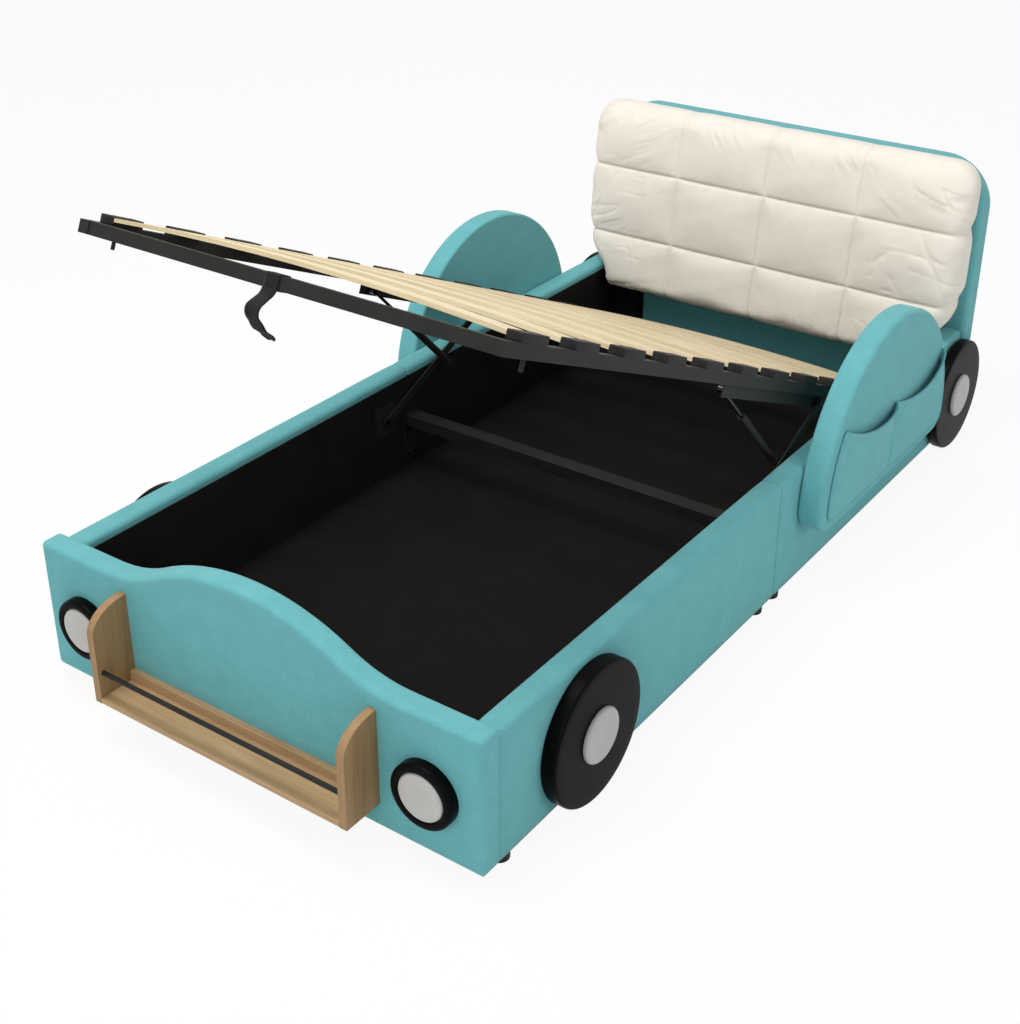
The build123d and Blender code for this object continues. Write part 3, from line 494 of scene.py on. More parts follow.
headboard = {"half": 0.555, "top": 0.760, "corner": 0.13, "footCorner": 0.006, "thickness": 0.072,
             "edge": 0.011, "count": (120, 90)}


def headSides(inset):
    # A box with small lower and large upper corners, drawn in by inset
    s = headboard
    half, top, big = s["half"] - inset, s["top"] - inset, s["corner"] - inset
    small = max(s["footCorner"] - inset, 0.0008)
    crest = [rounding(-half, top, big, 135, 90, 16), rounding(half, top, big, 90, 45, 16)]
    return boxedSides(half, (bed["foot"] + inset, small, 4), (top, big, 16), crest, s["count"])


headEdge = edgeProfile(headboard["thickness"], headboard["edge"], headboard["edge"])
covered("headboardPadding", slab(headSides, headEdge, facingNose(bed["railBack"])), "headboard_cover")
print("front panel and headboard done")


# Side rails, each in two upholstered lengths that meet at a drawn-in seam

rail = {"round": 0.012, "strip": 0.2915, "lining": 0.0045, "seamRound": 0.005, "step": 0.014,
        "sink": 0.0008, "sinkReach": 0.02, "uneven": 0.0007}


def railSection(inset):
    # Outer face, rounded top, inner strip, and the step back behind the lining
    outer, inner, top = bed["railOuter"] - inset, bed["railInner"] + inset, bed["railTop"] - inset
    r, lip, foot = rail["round"], bed["railInner"] + rail["lining"], bed["foot"] + 0.0002
    strip = rail["strip"]
    return np.concatenate([
        line((lip + 0.004, foot), (outer, foot), 5), line((outer, foot), (outer, top - r), 22)[1:],
        rounding(outer, top, r, 0, 90, 8)[1:], line((outer - r, top), (inner + r, top), 6)[1:],
        rounding(inner, top, r, 90, 180, 8)[1:], line((inner, top - r), (inner, strip), 4)[1:],
        line((inner, strip), (lip, strip), 3)[1:], line((lip, strip), (lip, foot), 4)[1:]])


def railRings(side, start, end):
    # The section at stations along y, drawn in by a quarter circle at each end. The padding
    # sinks a little towards the seams and is gently uneven
    r = rail["seamRound"]
    near = r * (1 - np.cos(np.linspace(0, math.pi / 2, 5)))
    between = np.linspace(start + near[-1], end - near[-1], int((end - start) / rail["step"]))[1:-1]
    rings = []
    for y in np.concatenate([start + near, between, end - near[::-1]]):
        close = min(y - start, end - y)
        inset = r - math.sqrt(max(r ** 2 - max(r - close, 0) ** 2, 0))
        section = railSection(inset + rail["sink"] * math.exp(-close / rail["sinkReach"]))
        rings.append(np.stack([side * section[:, 0], np.full(len(section), y), section[:, 1]], 1))
    rings = np.array(rings)
    outside = np.clip((abs(rings[..., 0]) - 0.52) / 0.02, 0, 1)
    outside *= np.clip((rings[..., 2] - 0.04) / 0.03, 0, 1)
    rings[..., 0] -= side * rail["uneven"] * (1 + ripple(rings, 0.3, 11)) * outside
    return rings


for hand, side in hands.items():
    lengths = {"front": (bed["front"] + frontPanel["thickness"], bed["seam"]),
               "rear": (bed["seam"], bed["railBack"])}
    for part, (start, end) in lengths.items():
        covered(f"{part}RailPadding{hand.capitalize()}", lofted(railRings(side, start, end)),
                f"side_rail_cover_{part}_{hand}")
print("rails done")


# Side discs with their pockets

disc = {"centre": (0.471, 0.214), "radius": 0.356, "foot": 0.149, "footCorner": 0.06, "thickness": 0.0585,
        "edge": 0.014, "count": (90, 90), "crown": 0.0015}


def discParts(inset):
    # Circle with a flat foot: each lower corner is an arc that touches both
    (cy, cz), radius = disc["centre"], disc["radius"] - inset
    foot, corner = disc["foot"] + inset, disc["footCorner"] - inset
    drop = foot + corner - cz
    reach = math.sqrt((radius - corner) ** 2 - drop ** 2)
    lean = math.degrees(math.atan2(drop, reach))
    middle = (lean - 90) / 2
    lower = arc((cy + reach, foot + corner), corner, -90, middle, 10)
    upper = arc((cy + reach, foot + corner), corner, middle, lean, 10)
    return lower, upper, lean, radius


def acrossDisc(points):
    # Mirrored about the disc's upright middle line, and in the opposite order
    return (points * (-1, 1) + (2 * disc["centre"][0], 0))[::-1]


def discSides(inset):
    # Four sides of the disc's face, its upper ones meeting 40 degrees from the top
    lower, upper, lean, radius = discParts(inset)
    right = evenly([upper, arc(disc["centre"], radius, lean, 50, 40)], disc["count"][1])
    bottom = evenly([acrossDisc(lower), lower], disc["count"][0])
    top = evenly([arc(disc["centre"], radius, 130, 50, 60)], disc["count"][0])
    return bottom, right, top, acrossDisc(right)[::-1]


def besideBed(side, inner, crown=0.0, reach=1.0):
    # Puts points beside the bed: drawn as y and z, with x outwards from inner
    def place(points, depth):
        out = inner - depth
        if depth <= 0.001 and crown:
            away = np.linalg.norm(points - disc["centre"], axis=1) / reach
            out = out + crown * np.clip(1 - away ** 4, 0, 1)
        return np.stack([side * (out + np.zeros(len(points))), points[:, 0], points[:, 1]], 1)
    return place


discFace = bed["railOuter"] + disc["thickness"]
discEdge = edgeProfile(disc["thickness"], disc["edge"], disc["edge"] / 2, 7)
for hand, side in hands.items():
    place = besideBed(side, discFace, disc["crown"], disc["radius"])
    covered(f"discPadding{hand.capitalize()}", slab(discSides, discEdge, place), f"side_disc_cover_{hand}")

pocket = {"inset": 0.028, "skin": 0.0040, "mouth": 0.0215, "stitch": 0.0008, "count": (72, 54),
          "gather": 0.8, "ridge": 0.0016, "groove": 0.0014, "uneven": 0.0011,
          "hem": {"start": (-0.271, 0.391), "dip": (-0.106, 0.3408), "divider": (0.009, 0.3529),
                  "rearDip": (0.150, 0.3367), "end": (0.289, 0.3892)}}


def pocketSides(part):
    # Sewn outline along the disc's edge, the divider seam, and the hem that dips between them
    cy, cz = disc["centre"]
    at = {key: (cy + y, z) for key, (y, z) in pocket["hem"].items()}
    lower, upper, lean, radius = discParts(pocket["inset"])
    wide, high, gather = *pocket["count"], pocket["gather"]
    foot = (at["divider"][0], disc["foot"] + pocket["inset"])
    divider = evenly([line(foot, at["divider"])], high, gather)
    if part == "rear":
        end = math.degrees(math.atan2(at["end"][1] - cz, at["end"][0] - cy))
        edge = arc(disc["centre"], radius, lean, end, 30)[:-1]
        right = evenly([upper, edge, [at["end"]]], high, gather)
        top = evenly([threePointArc(at["divider"], at["rearDip"], at["end"], 40)], wide, gather)
        return evenly([[foot], lower], wide, gather), right, top, divider
    start = math.degrees(math.atan2(at["start"][1] - cz, at["start"][0] - cy))
    edge = arc(disc["centre"], radius, 180 - lean, start, 30)[:-1]
    left = evenly([acrossDisc(upper)[::-1], edge, [at["start"]]], high, gather)
    top = evenly([threePointArc(at["start"], at["dip"], at["divider"], 40)], wide, gather)
    return evenly([acrossDisc(lower), [foot]], wide, gather), divider, top, left


def pocketCloth(part, side):
    # The cloth stands off the disc most at its open mouth, towards its rear end, as a power of
    # its width times one minus its width, and is sewn flat along both sides and its bottom,
    # where a ridge of two folds shows. A second layer lies one skin inside
    flat = coons(*pocketSides(part))
    wide, high = flat.shape[:2]
    u = gathered(np.linspace(0, 1, wide), pocket["gather"])[:, None]
    v = gathered(np.linspace(0, 1, high), pocket["gather"])[None]
    swell = u ** 1.1 * (1 - u) ** 0.5 / 0.42 * (0.3 * (1 - (1 - v) ** 3) + 0.7 * v ** 5)
    out = pocket["stitch"] + (pocket["mouth"] - pocket["stitch"]) * swell
    close = np.minimum(np.minimum(u * 0.27, (1 - u) * 0.27), v * 0.17)
    ridge = pocket["ridge"] * np.exp(-((close - 0.002) / 0.002) ** 2)
    ridge -= pocket["groove"] * np.exp(-((close - 0.007) / 0.0018) ** 2)
    spots = np.concatenate([np.zeros((wide * high, 1)), flat.reshape(-1, 2)], 1)
    out += pocket["uneven"] * ripple(spots, 0.10, 5).reshape(wide, high) * np.clip(close / 0.03, 0, 1)
    hem = 0.0010 * np.clip((v - 0.93) / 0.01, 0, 1) - 0.0008 * np.exp(-((v - 0.93) / 0.006) ** 2)
    layers = []
    for lift in (pocket["skin"] + hem + ridge, 0 * hem):
        x = side * (discFace + 0.0002 + out + lift)
        layers.append(np.stack([x, flat[..., 0], flat[..., 1]], -1))
    index = np.arange(wide * high).reshape(wide, high)
    rim = np.append(edgeOf(index), index[0, 0])
    points = np.concatenate([layer.reshape(-1, 3) for layer in layers])
    inner = index + wide * high
    between = np.stack([rim, rim + wide * high])
    faces = np.concatenate([quads(index), quads(between), quads(inner)[:, ::-1]])
    return points, facedOutwards(points, faces), layers[0]


for hand, side in hands.items():
    for part in ("front", "rear"):
        points, faces, face = pocketCloth(part, side)
        cloth = pieceOf(f"{part}Pocket{hand.capitalize()}", (points, faces), tealVelvet,
                        nodes=[f"side_pocket_{hand}"])
print("discs and pockets done")


# Wheels, hub caps and headlights, turned on a lathe

wheel = {"radius": 0.148, "height": 0.150, "places": {"front": -0.753, "rear": 1.023}, "thickness": 0.0315,
         "edge": 0.006, "hub": 0.057, "hubProud": 0.011, "hubEdge": 0.007, "dome": 0.0015, "boss": 0.040,
         "standOff": 0.0058}


def roundedDisc(radius, low, high, edge, dome=0.0, backEdge=0.002):
    # Half section of a disc from the middle of its back to the middle of its face: rounded
    # edges, and a face that rises to its middle as a parabola
    turn = np.linspace(0, math.pi / 2, 7)
    back = np.stack([radius - backEdge * (1 - np.sin(turn)), low + backEdge * (1 - np.cos(turn))], 1)
    front = np.stack([radius - edge * (1 - np.cos(turn)), high - edge * (1 - np.sin(turn))], 1)
    shares = np.linspace(1, 0.02, 8)[1:, None]
    flat = np.concatenate([shares * (radius - edge), high + dome * (1 - shares ** 2)], 1)
    return np.concatenate([[(0.0005, low), (radius * 0.5, low)], back, front, flat])


hubProfile = roundedDisc(wheel["hub"], wheel["thickness"] + 0.0001,
                         wheel["thickness"] + wheel["hubProud"] - wheel["dome"], wheel["hubEdge"],
                         wheel["dome"], 0.0005)


def onSide(side, y, z, inner):
    # A lathe shape whose axis points outwards from the bed's side
    def place(rings):
        return np.stack([side * (inner + rings[..., 2]), y + rings[..., 0], z + rings[..., 1]], -1)
    return place


for hand, side in hands.items():
    for part, y in wheel["places"].items():
        low = wheel["standOff"] if part == "rear" else 0.0
        at = onSide(side, y, wheel["height"], bed["railOuter"])
        parts = [turned(roundedDisc(wheel["radius"], low, wheel["thickness"], wheel["edge"]), at)]
        if low:
            parts.append(turned(roundedDisc(wheel["boss"], 0, low + 0.001, 0.0005, 0, 0.0005), at, 48))
        pieceOf(f"{part}Wheel{hand.capitalize()}", joined(parts), blackLacquer,
                nodes=[f"wheel_{part}_{hand}"])
hubs = [turned(hubProfile, onSide(side, y, wheel["height"], bed["railOuter"]), 72)
        for side in hands.values() for y in wheel["places"].values()]
pieceOf("hubCaps", joined(hubs), paleCap, nodes=["hub_caps"])

headlight = {"x": 0.435, "z": 0.168, "ring": 0.0675, "lens": 0.050, "depth": 0.025, "proud": 0.003,
             "dome": 0.0025, "ringEdge": 0.007, "lipEdge": 0.004}


def onFront(x, z):
    # A lathe shape whose axis points forwards from the front panel
    def place(rings):
        return np.stack([x + rings[..., 0], bed["front"] - rings[..., 2], z + rings[..., 1]], -1)
    return place


ringProfile = np.concatenate([
    [(headlight["lens"] - 0.004, 0.0), (headlight["ring"], 0.0)],
    rounding(headlight["ring"], headlight["depth"], headlight["ringEdge"], 0, 90, 8),
    rounding(headlight["lens"], headlight["depth"], headlight["lipEdge"], 90, 180, 6),
    [(headlight["lens"], 0.014), (headlight["lens"] - 0.004, 0.010)]])


lightRings = [hoop(ringProfile, onFront(side * headlight["x"], headlight["z"])) for side in hands.values()]
pieceOf("headlightRings", joined(lightRings), blackLacquer, nodes=["headlight_rings"])
lensProfile = roundedDisc(headlight["lens"] - 0.0004, 0.011,
                          headlight["depth"] + headlight["proud"] - headlight["dome"], 0.006,
                          headlight["dome"], 0.001)
lenses = [turned(lensProfile, onFront(side * headlight["x"], headlight["z"]), 72)
          for side in hands.values()]
pieceOf("headlightLenses", joined(lenses), lampLens, nodes=["headlight_lenses"])
print("wheels and headlights done")


# Headboard cushion: cells crowned between sewn seams, thicker towards its foot

cushion = {"half": 0.558, "bottom": 0.246, "top": 0.779, "corner": 0.067, "between": 0.486,
           "rows": (0.243, 0.413, 0.605, 0.785), "columns": (-0.268, 0.0, 0.268),
           "depths": (0.158, 0.137, 0.117, 0.083), "crown": 0.010, "draw": 0.009, "roll": 0.036,
           "count": (125, 62), "snap": 0.0066, "sewn": 0.0035, "groove": 0.0034, "uneven": 0.0004,
           "taper": ((0.486, 0.266), (0.492, 0.295), (0.506, 0.322), (0.529, 0.352), (0.547, 0.392),
                     (0.557, 0.45))}
stuffing = {"quality": 5, "mass": 0.3, "stiffness": 0.2, "pressure": 8.0, "letOut": 0.05,
            "frames": 20, "cap": 0.015}
folds = {"droop": 0.0030, "lean": 0.0026, "gather": 0.0020, "size": 0.034, "valley": 0.13, "clear": 0.012}


def cushionSides(inset):
    # Round upper corners; towards its foot the outline narrows to sit between the rails
    s = cushion
    half, top, corner = s["half"] - inset, s["top"] - inset, s["corner"] - inset * 0.6
    low, inside, r = s["bottom"] + inset, s["between"] - inset, 0.02
    taper = smoothLine(s["taper"], 40) - (inset, 0)
    taper = taper + np.array([0, inset]) * np.linspace(1, 0, 40)[:, None]
    right = [rounding(inside, low, r, -45, 0, 4)[:-1], taper, rounding(half, top, corner, 0, 45, 12)]
    right = evenly(right, s["count"][1])
    crest = [rounding(-half, top, corner, 135, 90, 12), rounding(half, top, corner, 90, 45, 12)]
    bottom = [rounding(-inside, low, r, 225, 270, 4), rounding(inside, low, r, 270, 315, 4)]
    return evenly(bottom, s["count"][0]), right, evenly(crest, s["count"][0]), right * (-1, 1)


def fromSeams(values, seams):
    # How far each value is past the seam nearest to it
    gaps = values[:, None] - np.array(seams)
    return gaps[np.arange(len(values)), abs(gaps).argmin(1)]


def fromStitches(points):
    # Distance of each point in space from the nearest seam of the cushion's face
    upright = fromSeams(points[:, 0], cushion["columns"])
    level = fromSeams(points[:, 2], cushion["rows"][1:-1])
    return np.minimum(abs(upright), abs(level))


def ontoSeams(values, seams):
    # Moves the row of points nearest each seam onto it, and its neighbours less and less
    gap = fromSeams(values, seams)
    return values - gap * np.clip((2 - abs(gap) / cushion["snap"]) / 1.5, 0, 1)


def cushionPlace(points, depth):
    # Depth runs from 0 at the cushion's face to 1 at the headboard. A cell's crown is a round
    # hill between the seams, and the edge is drawn in at the end of each seam
    s = cushion
    if depth < 0.7:
        points = np.stack([ontoSeams(points[:, 0], s["columns"]),
                           ontoSeams(points[:, 1], s["rows"][1:-1])], 1)
    x, z = points[:, 0], points[:, 1]
    edges = np.array([-s["half"], *s["columns"], s["half"]])
    column = np.clip(np.searchsorted(edges, x) - 1, 0, 3)
    row = np.clip(np.searchsorted(s["rows"], z) - 1, 0, 2)
    across = np.abs((x - edges[column]) / (edges[column + 1] - edges[column]) * 2 - 1)
    low, high = np.take(s["rows"], row), np.take(s["rows"], row + 1)
    upwards = np.abs((z - low) / (high - low) * 2 - 1)
    hill = np.sqrt(np.clip(1 - across ** 3, 0, 1) * np.clip(1 - upwards ** 3, 0, 1))
    thick = np.interp(z, s["rows"], s["depths"])
    edge = 1 - depth
    y = bed["railBack"] - 0.0005 - edge * (thick + s["crown"] * hill * edge)
    level, upright = fromSeams(z, s["rows"][1:-1]), fromSeams(x, s["columns"])
    drawnX = s["draw"] * np.exp(-(level / 0.02) ** 2) * np.clip((abs(x) - 0.4) / 0.16, 0, 1)
    drawnZ = s["draw"] * np.exp(-(upright / 0.02) ** 2) * np.clip((z - 0.7) / 0.09, 0, 1) * edge
    return np.stack([x - np.sign(x) * drawnX, y, z - drawnZ], 1)


def cushionProfile():
    # Inset and depth round the cushion's edge: its face rolls over on a long quarter ellipse,
    # and its back turns in where it meets the headboard
    turn = np.linspace(0, math.pi / 2, 9)
    face = np.stack([cushion["roll"] * (1 - np.sin(turn)), 0.42 * (1 - np.cos(turn))], 1)
    back = np.array([(0.0005, 0.55), (0.003, 0.7), (0.008, 0.85), (0.016, 0.96), (0.022, 1.0)])
    return np.concatenate([face, back])


def readPoints(mesh, key="co"):
    values = np.empty(len(mesh.vertices) * 3, np.float32)
    mesh.vertices.foreach_get(key, values)
    return values.reshape(-1, 3).astype(float)


def sewnOrFixed(points):
    # True on the seams, at the headboard and beside the rails
    behind = points[:, 1] > bed["railBack"] - 0.03
    byRail = (abs(points[:, 0]) > 0.46) & (points[:, 2] < 0.38)
    return (fromStitches(points) < cushion["sewn"]) | behind | byRail


def inflated(piece, rest):
    # Cloth that is held where it is sewn or fixed, let out by a small share that grows towards
    # the end cells, and blown up from inside without gravity. No point moves past the cap
    scene = bpy.context.scene
    loose = np.clip((abs(rest[:, 0]) - 0.2) / 0.2, 0.3, 1)
    for name, weights in (("held", sewnOrFixed(rest).astype(float)), ("loose", loose)):
        group = piece.vertex_groups.new(name=name)
        for weight in np.unique(np.round(weights, 1)):
            group.add(np.flatnonzero(np.round(weights, 1) == weight).tolist(), float(weight), "REPLACE")
    cloth = piece.modifiers.new("inflate", "CLOTH")
    settings = cloth.settings
    settings.quality, settings.mass = stuffing["quality"], stuffing["mass"]
    settings.bending_stiffness = stuffing["stiffness"]
    settings.use_pressure, settings.uniform_pressure_force = True, stuffing["pressure"]
    settings.vertex_group_mass, settings.vertex_group_shrink = "held", "loose"
    settings.shrink_min, settings.shrink_max = 0.0, -stuffing["letOut"]
    settings.effector_weights.gravity = 0.0
    cloth.point_cache.frame_start, cloth.point_cache.frame_end = 1, stuffing["frames"]
    for number in range(1, stuffing["frames"] + 1):
        scene.frame_set(number)
    blown = readPoints(piece.evaluated_get(bpy.context.evaluated_depsgraph_get()).data)
    piece.modifiers.remove(cloth)
    scene.frame_set(1)
    step = np.nan_to_num(blown - rest)
    length = np.linalg.norm(step, axis=1)[:, None]
    print("cushion cloth moved at most", round(float(length.max()) * 1000, 1), "mm")
    moved = rest + step * np.minimum(1, stuffing["cap"] / np.maximum(length, 1e-9))
    piece.data.vertices.foreach_set("co", moved.astype(np.float32).ravel())
    piece.data.update()


def creased(points, along, seed):
    # Irregular folds: long lumps of ripple, stretched five times along one direction of the
    # face, with a narrow valley of Gaussian section wherever the ripple crosses zero
    lengthwise, across = points @ along, points @ np.array([-along[2], 0, along[0]])
    lumps = ripple(np.stack([lengthwise / 5, 0 * across, across], 1), folds["size"], seed)
    return 0.45 * lumps + np.exp(-(lumps / folds["valley"]) ** 2)


def creases(points):
    # Depth of the creases in metres, which come and go in patches: they droop outwards in the
    # end cells, lean along the top edge and run upright at the foot
    x, z = abs(points[:, 0]), points[:, 2]
    patch = np.clip(0.4 + 1.2 * ripple(points, 0.12, 22), 0, 1)
    clear = 1 - np.exp(-(fromStitches(points) / folds["clear"]) ** 2)
    mirrored = np.stack([x, points[:, 1], z], 1)
    droop = creased(mirrored, np.array([0.94, 0, -0.34]), 31) * np.clip((x - 0.29) / 0.08, 0, 1)
    lean = creased(points, np.array([0.55, 0, -0.83]), 33) * np.clip((z - 0.68) / 0.05, 0, 1)
    gather = creased(points * 1.6, np.array([0.1, 0, 0.99]), 35) * np.clip((0.36 - z) / 0.07, 0, 1)
    lean = lean * np.clip((0.32 - x) / 0.05, 0, 1)
    depth = folds["droop"] * droop + folds["lean"] * lean + folds["gather"] * gather
    return depth * patch * clear


def finishedCushion(piece):
    # One step of subdivision, then the creases and the stitched grooves, pressed in along the
    # surface's own normals on the side that shows
    smoother = piece.modifiers.new("smooth", "SUBSURF")
    smoother.levels = smoother.render_levels = 1
    mesh = bpy.data.meshes.new_from_object(piece.evaluated_get(bpy.context.evaluated_depsgraph_get()))
    piece.modifiers.remove(smoother)
    piece.data = mesh
    points, normals = readPoints(mesh), readPoints(mesh, "normal")
    shown = np.clip((bed["railBack"] - 0.02 - points[:, 1]) / 0.03, 0, 1)
    stitched = cushion["groove"] * np.exp(-(fromStitches(points) / cushion["sewn"]) ** 2)
    depth = creases(points) + stitched + cushion["uneven"] * ripple(points, 0.05, 25)
    points -= normals * (depth * shown)[:, None]
    mesh.vertices.foreach_set("co", points.astype(np.float32).ravel())
    mesh.update()


quilted = pieceOf("headboardCushion", slab(cushionSides, cushionProfile(), cushionPlace), creamVelvet,
                  nodes=["headboard_cushion"])
inflated(quilted, readPoints(quilted.data))
finishedCushion(quilted)
print("cushion done")


# Slat caps: rounded moulded boxes on the side tubes

platform = {"start": -0.8742, "height": 0.9754, "tilt": math.asin((0.9754 - 0.2255) / 1.84), "half": 0.491,
            "tubeTop": -0.017, "tubeFront": -0.0454, "tube": (0.025, 0.026)}
slatCap = {"count": 11, "pitch": 0.1715, "size": (0.035, 0.080), "round": 0.002}


def onPlatform(points):
    # Points given as x, distance along the platform and height above the caps' top, turned by
    # the platform's tilt and moved to its raised place
    x, s, h = points[..., 0], points[..., 1], points[..., 2]
    c, n = math.cos(platform["tilt"]), math.sin(platform["tilt"])
    return np.stack([x, platform["start"] + s * c + h * n, platform["height"] - s * n + h * c], -1)


def capSides(inset):
    # Rounded rectangle, each side from the middle of one corner to the middle of the next
    (wide, long), r = slatCap["size"], slatCap["round"]
    a, b, r = wide / 2 - inset, long / 2 - inset, max(r - inset * 0.8, 0.0003)
    right = np.concatenate([rounding(a, -b, r, -45, 0, 3), rounding(a, b, r, 0, 45, 3)])
    bottom = np.concatenate([rounding(-a, -b, r, 225, 270, 3), rounding(a, -b, r, 270, 315, 3)])
    return bottom, right, bottom * (1, -1), right * (-1, 1)


def capAt(x, s):
    # Puts a cap's points flat on the platform, with its middle at x and s
    def place(points, depth):
        return onPlatform(np.stack([x + points[:, 0], s + points[:, 1], np.full(len(points), -depth)], 1))
    return place


capProfile = edgeProfile(-platform["tubeTop"], 0.0018, 0.0006, 4)
caps = [slab(capSides, capProfile, capAt(side * (platform["half"] - slatCap["size"][0] / 2),
                                         number * slatCap["pitch"] + slatCap["size"][1] / 2))
        for side in hands.values() for number in range(slatCap["count"])]
pieceOf("slatCaps", joined(caps), blackPlastic, "platform", ["slat_caps"])


# Pull strap: a loop round the foot tube and a limp tail that curls under

strap = {"width": 0.034, "thickness": 0.0016, "play": 0.0006, "steps": 60, "bend": 0.003,
         "loopSteps": 72, "narrowFrom": 0.93, "narrowBy": 0.55,
         "tail": ((-0.0478, -0.0425), (-0.0545, -0.053), (-0.0685, -0.066), (-0.0785, -0.079),
                  (-0.0765, -0.093), (-0.0655, -0.104), (-0.0505, -0.117), (-0.0290, -0.1225),
                  (-0.0130, -0.131))}


def ribbon(name, path, widths, lift, closed=False):
    # A flat strap along a path in the platform's s and h: two faces a thickness apart, with
    # the cross direction along x, and curled across its width by lift
    steps = np.gradient(path, axis=0)
    if closed:
        steps = np.roll(path, -1, 0) - np.roll(path, 1, 0)
    normal = np.stack([-steps[:, 1], steps[:, 0]], 1) / np.linalg.norm(steps, axis=1)[:, None]
    run = np.concatenate([[0], np.cumsum(np.linalg.norm(np.diff(path, axis=0), axis=1))])
    across, upper = np.linspace(-0.5, 0.5, 9), np.full(9, 0.5)
    section = np.concatenate([np.stack([across, upper], 1), np.stack([across[::-1], -upper], 1)])
    rings, around = [], []
    for k in range(len(path)):
        x = section[:, 0] * widths[k]
        off = section[:, 1] * strap["thickness"] + lift[k] * (section[:, 0] * 2) ** 2
        sh = path[k] + off[:, None] * normal[k]
        rings.append(np.stack([x, sh[:, 0], sh[:, 1]], 1))
        around.append(np.stack([x, np.full(len(section), run[k])], 1))
    around = np.concatenate(around + [around[0][:1], around[-1][-1:]])
    return pieceOf(name, lofted(onPlatform(np.array(rings))), blackWebbing, "platform",
                   ["pull_strap"], around=around)


tailPath = smoothLine(strap["tail"], strap["steps"])
share = np.linspace(0, 1, strap["steps"])
past = np.clip((share - strap["narrowFrom"]) / (1 - strap["narrowFrom"]), 0, 1)
tailWidth = strap["width"] * (1 - strap["narrowBy"] * past) * (1 - 0.06 * np.sin(share * 9) ** 2)
strapTail = ribbon("pullStrapTail", tailPath, tailWidth, 0.0015 * np.sin(share * 11))
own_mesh(strapTail)

around = 2 * strap["play"] + strap["thickness"]
wide, high = (platform["tube"][0] + around) / 2, (platform["tube"][1] + around) / 2
middle = np.array([platform["tubeFront"] + platform["tube"][0] / 2,
                   platform["tubeTop"] - platform["tube"][1] / 2])
turns = ((wide, high, 0), (-wide, high, 90), (-wide, -high, 180), (wide, -high, 270))
loop = [rounding(x, y, strap["bend"], angle, angle + 90, 5) for x, y, angle in turns]
loop = evenly(loop + [[(wide, high - strap["bend"] - 0.0004)]], strap["loopSteps"]) + middle
ribbon("pullStrapLoop", loop, np.full(len(loop), strap["width"]), np.zeros(len(loop)), closed=True)
print("slat caps and strap done")


# Finishes of the pieces that stay as CAD made them

finishes = {
    "blackBoard": (blackBoard, ["box_lining", "floor_panels", "corner_blocks"]),
    "core": (coreBoard, ["front_panel_board", "headboard_board", "side_disc_boards"]
             + [f"side_rail_board_{part}_{hand}" for part in ("front", "rear") for hand in hands]),
    # The shelf base and strip take the oak copy painted lighter as painted light, the shelf sides the copy
    # painted darker as painted shade
    "litOakAcross": (litOakAcross, ["shelf_base", "shelf_back_strip"]),
    "shadedOakUpright": (shadedOakUpright, ["shelf_sides"]),
    "birch": (birch, ["slats"]),
    "pine": (pine, ["floor_bearers", "front_ledge"]),
    "powder": (powderCoat, ["shelf_rod", "cross_beam", "joint_plates", "corner_angles", "lift_base_plates",
                            "platform_brackets"]
               + [f"platform_tube_{end}" for end in ("left", "right", "foot", "head")]
               + [f"{piece}_{hand}" for piece in ("lift_arm", "rear_arm", "gas_cylinder")
                  for hand in hands]),
    "zinc": (blackZinc, ["joint_bolts", "base_pins", "bracket_pins"]),
    "chrome": (chromedRod, ["gas_rod_left", "gas_rod_right"]),
    "plastic": (blackPlastic, ["tube_plugs", "platform_pegs", "panel_feet"]),
}
for material, names in finishes.values():
    for name in names:
        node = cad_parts[name]
        node.data.materials.clear()
        node.data.materials.append(material)
print("finishes given")


# Studio: pale floor, soft light and the photograph's camera

def seenPlainly(tree):
    # 1 for rays from the camera, off reflections and through glass, and 0 for all others
    path = add(tree, "ShaderNodeLightPath")
    seen = path.outputs["Is Camera Ray"]
    for ray in ("Is Glossy Ray", "Is Transmission Ray"):
        seen = add(tree, "ShaderNodeMath", {0: seen, 1: path.outputs[ray]}, operation="MAXIMUM").outputs[0]
    return seen


def floorMaterial():
    # Diffuse paper floor; the camera, reflections and glass see it mostly as plain white
    material, tree, shader = blank("paleStudioPaper", Roughness=0.9)
    shader.inputs["Base Color"].default_value = linear("#e9e9e9")
    share = add(tree, "ShaderNodeMath", {0: seenPlainly(tree), 1: studio["plain"]}, operation="MULTIPLY")
    white = add(tree, "ShaderNodeEmission", {"Color": (1, 1, 1, 1), "Strength": 1.0})
    mixed = add(tree, "ShaderNodeMixShader", {0: share.outputs[0], 1: shader.outputs[0],
                                              2: white.outputs[0]})
    tree.links.new(mixed.outputs[0], tree.nodes["Material Output"].inputs["Surface"])
    return material


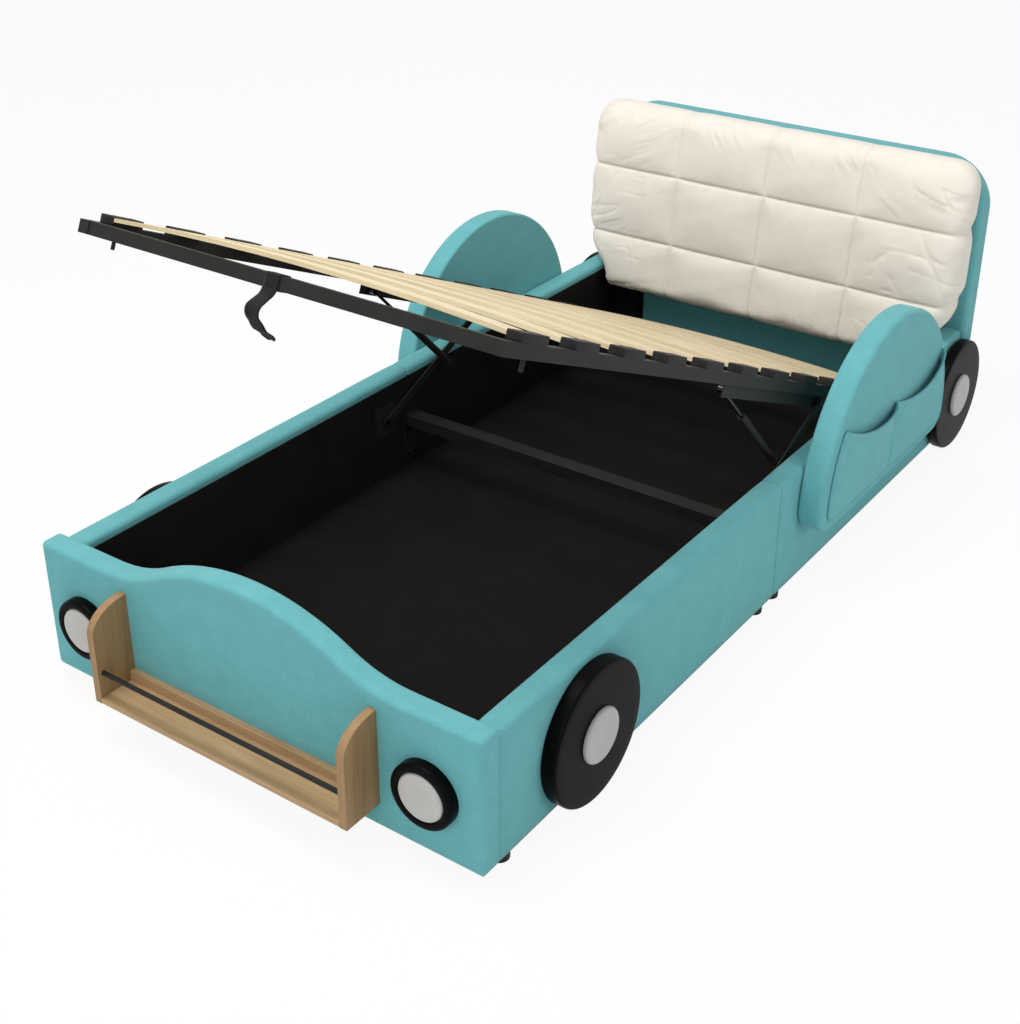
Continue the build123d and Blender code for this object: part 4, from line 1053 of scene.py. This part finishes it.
studio = {"floor": 30.0, "ambient": 0.5, "plain": 0.92}
floorMesh = bpy.data.meshes.new("studioFloor")
reach = studio["floor"]
corners = [(-reach, -reach, 0), (reach, -reach, 0), (reach, reach, 0), (-reach, reach, 0)]
floorMesh.from_pydata(corners, [], [(0, 1, 2, 3)])
floorMesh.materials.append(floorMaterial())
floor = bpy.data.objects.new("studioFloor", floorMesh)
bpy.context.scene.collection.objects.link(floor)

world = bpy.data.worlds.new("studioWorld")
world.use_nodes = True
bpy.context.scene.world = world
tree = world.node_tree
strength = add(tree, "ShaderNodeMapRange", {"Value": seenPlainly(tree), "To Min": studio["ambient"],
                                            "To Max": 1.0})
background = tree.nodes["Background"]
background.inputs["Color"].default_value = (1, 1, 1, 1)
tree.links.new(strength.outputs[0], background.inputs["Strength"])

lamps = {
    "keyOverhead": {"at": (-0.5, -1.0, 3.9), "to": (0, 0.1, 0.3), "size": 1.6, "power": 110},
    "fillFront": {"at": (0.6, -4.4, 1.9), "to": (0, 0, 0.4), "size": 2.5, "power": 42},
    "fillRight": {"at": (4.4, 0.2, 1.9), "to": (0, 0.2, 0.4), "size": 2.0, "power": 36},
}
for name, lamp in lamps.items():
    light = bpy.data.lights.new(name, "AREA")
    light.energy, light.size = lamp["power"], lamp["size"]
    thing = bpy.data.objects.new(name, light)
    bpy.context.scene.collection.objects.link(thing)
    thing.location = lamp["at"]
    aim = np.array(lamp["to"]) - np.array(lamp["at"])
    thing.rotation_euler = (math.atan2(math.hypot(aim[0], aim[1]), -aim[2]), 0, math.atan2(-aim[0], aim[1]))

view = {"at": (1.7801, -2.7306, 1.9554), "turn": 35.639, "down": 27.383, "lens": 54.873,
        "shift": (0.0065, -0.0700)}
camera = bpy.data.objects.new("camera", bpy.data.cameras.new("camera"))
bpy.context.scene.collection.objects.link(camera)
camera.location = view["at"]
camera.rotation_euler = (math.radians(90 - view["down"]), 0, math.radians(view["turn"]))
camera.data.lens = view["lens"]
camera.data.shift_x, camera.data.shift_y = view["shift"]
bpy.context.scene.camera = camera
bpy.context.scene.view_settings.view_transform = "Standard"
print("studio ready")
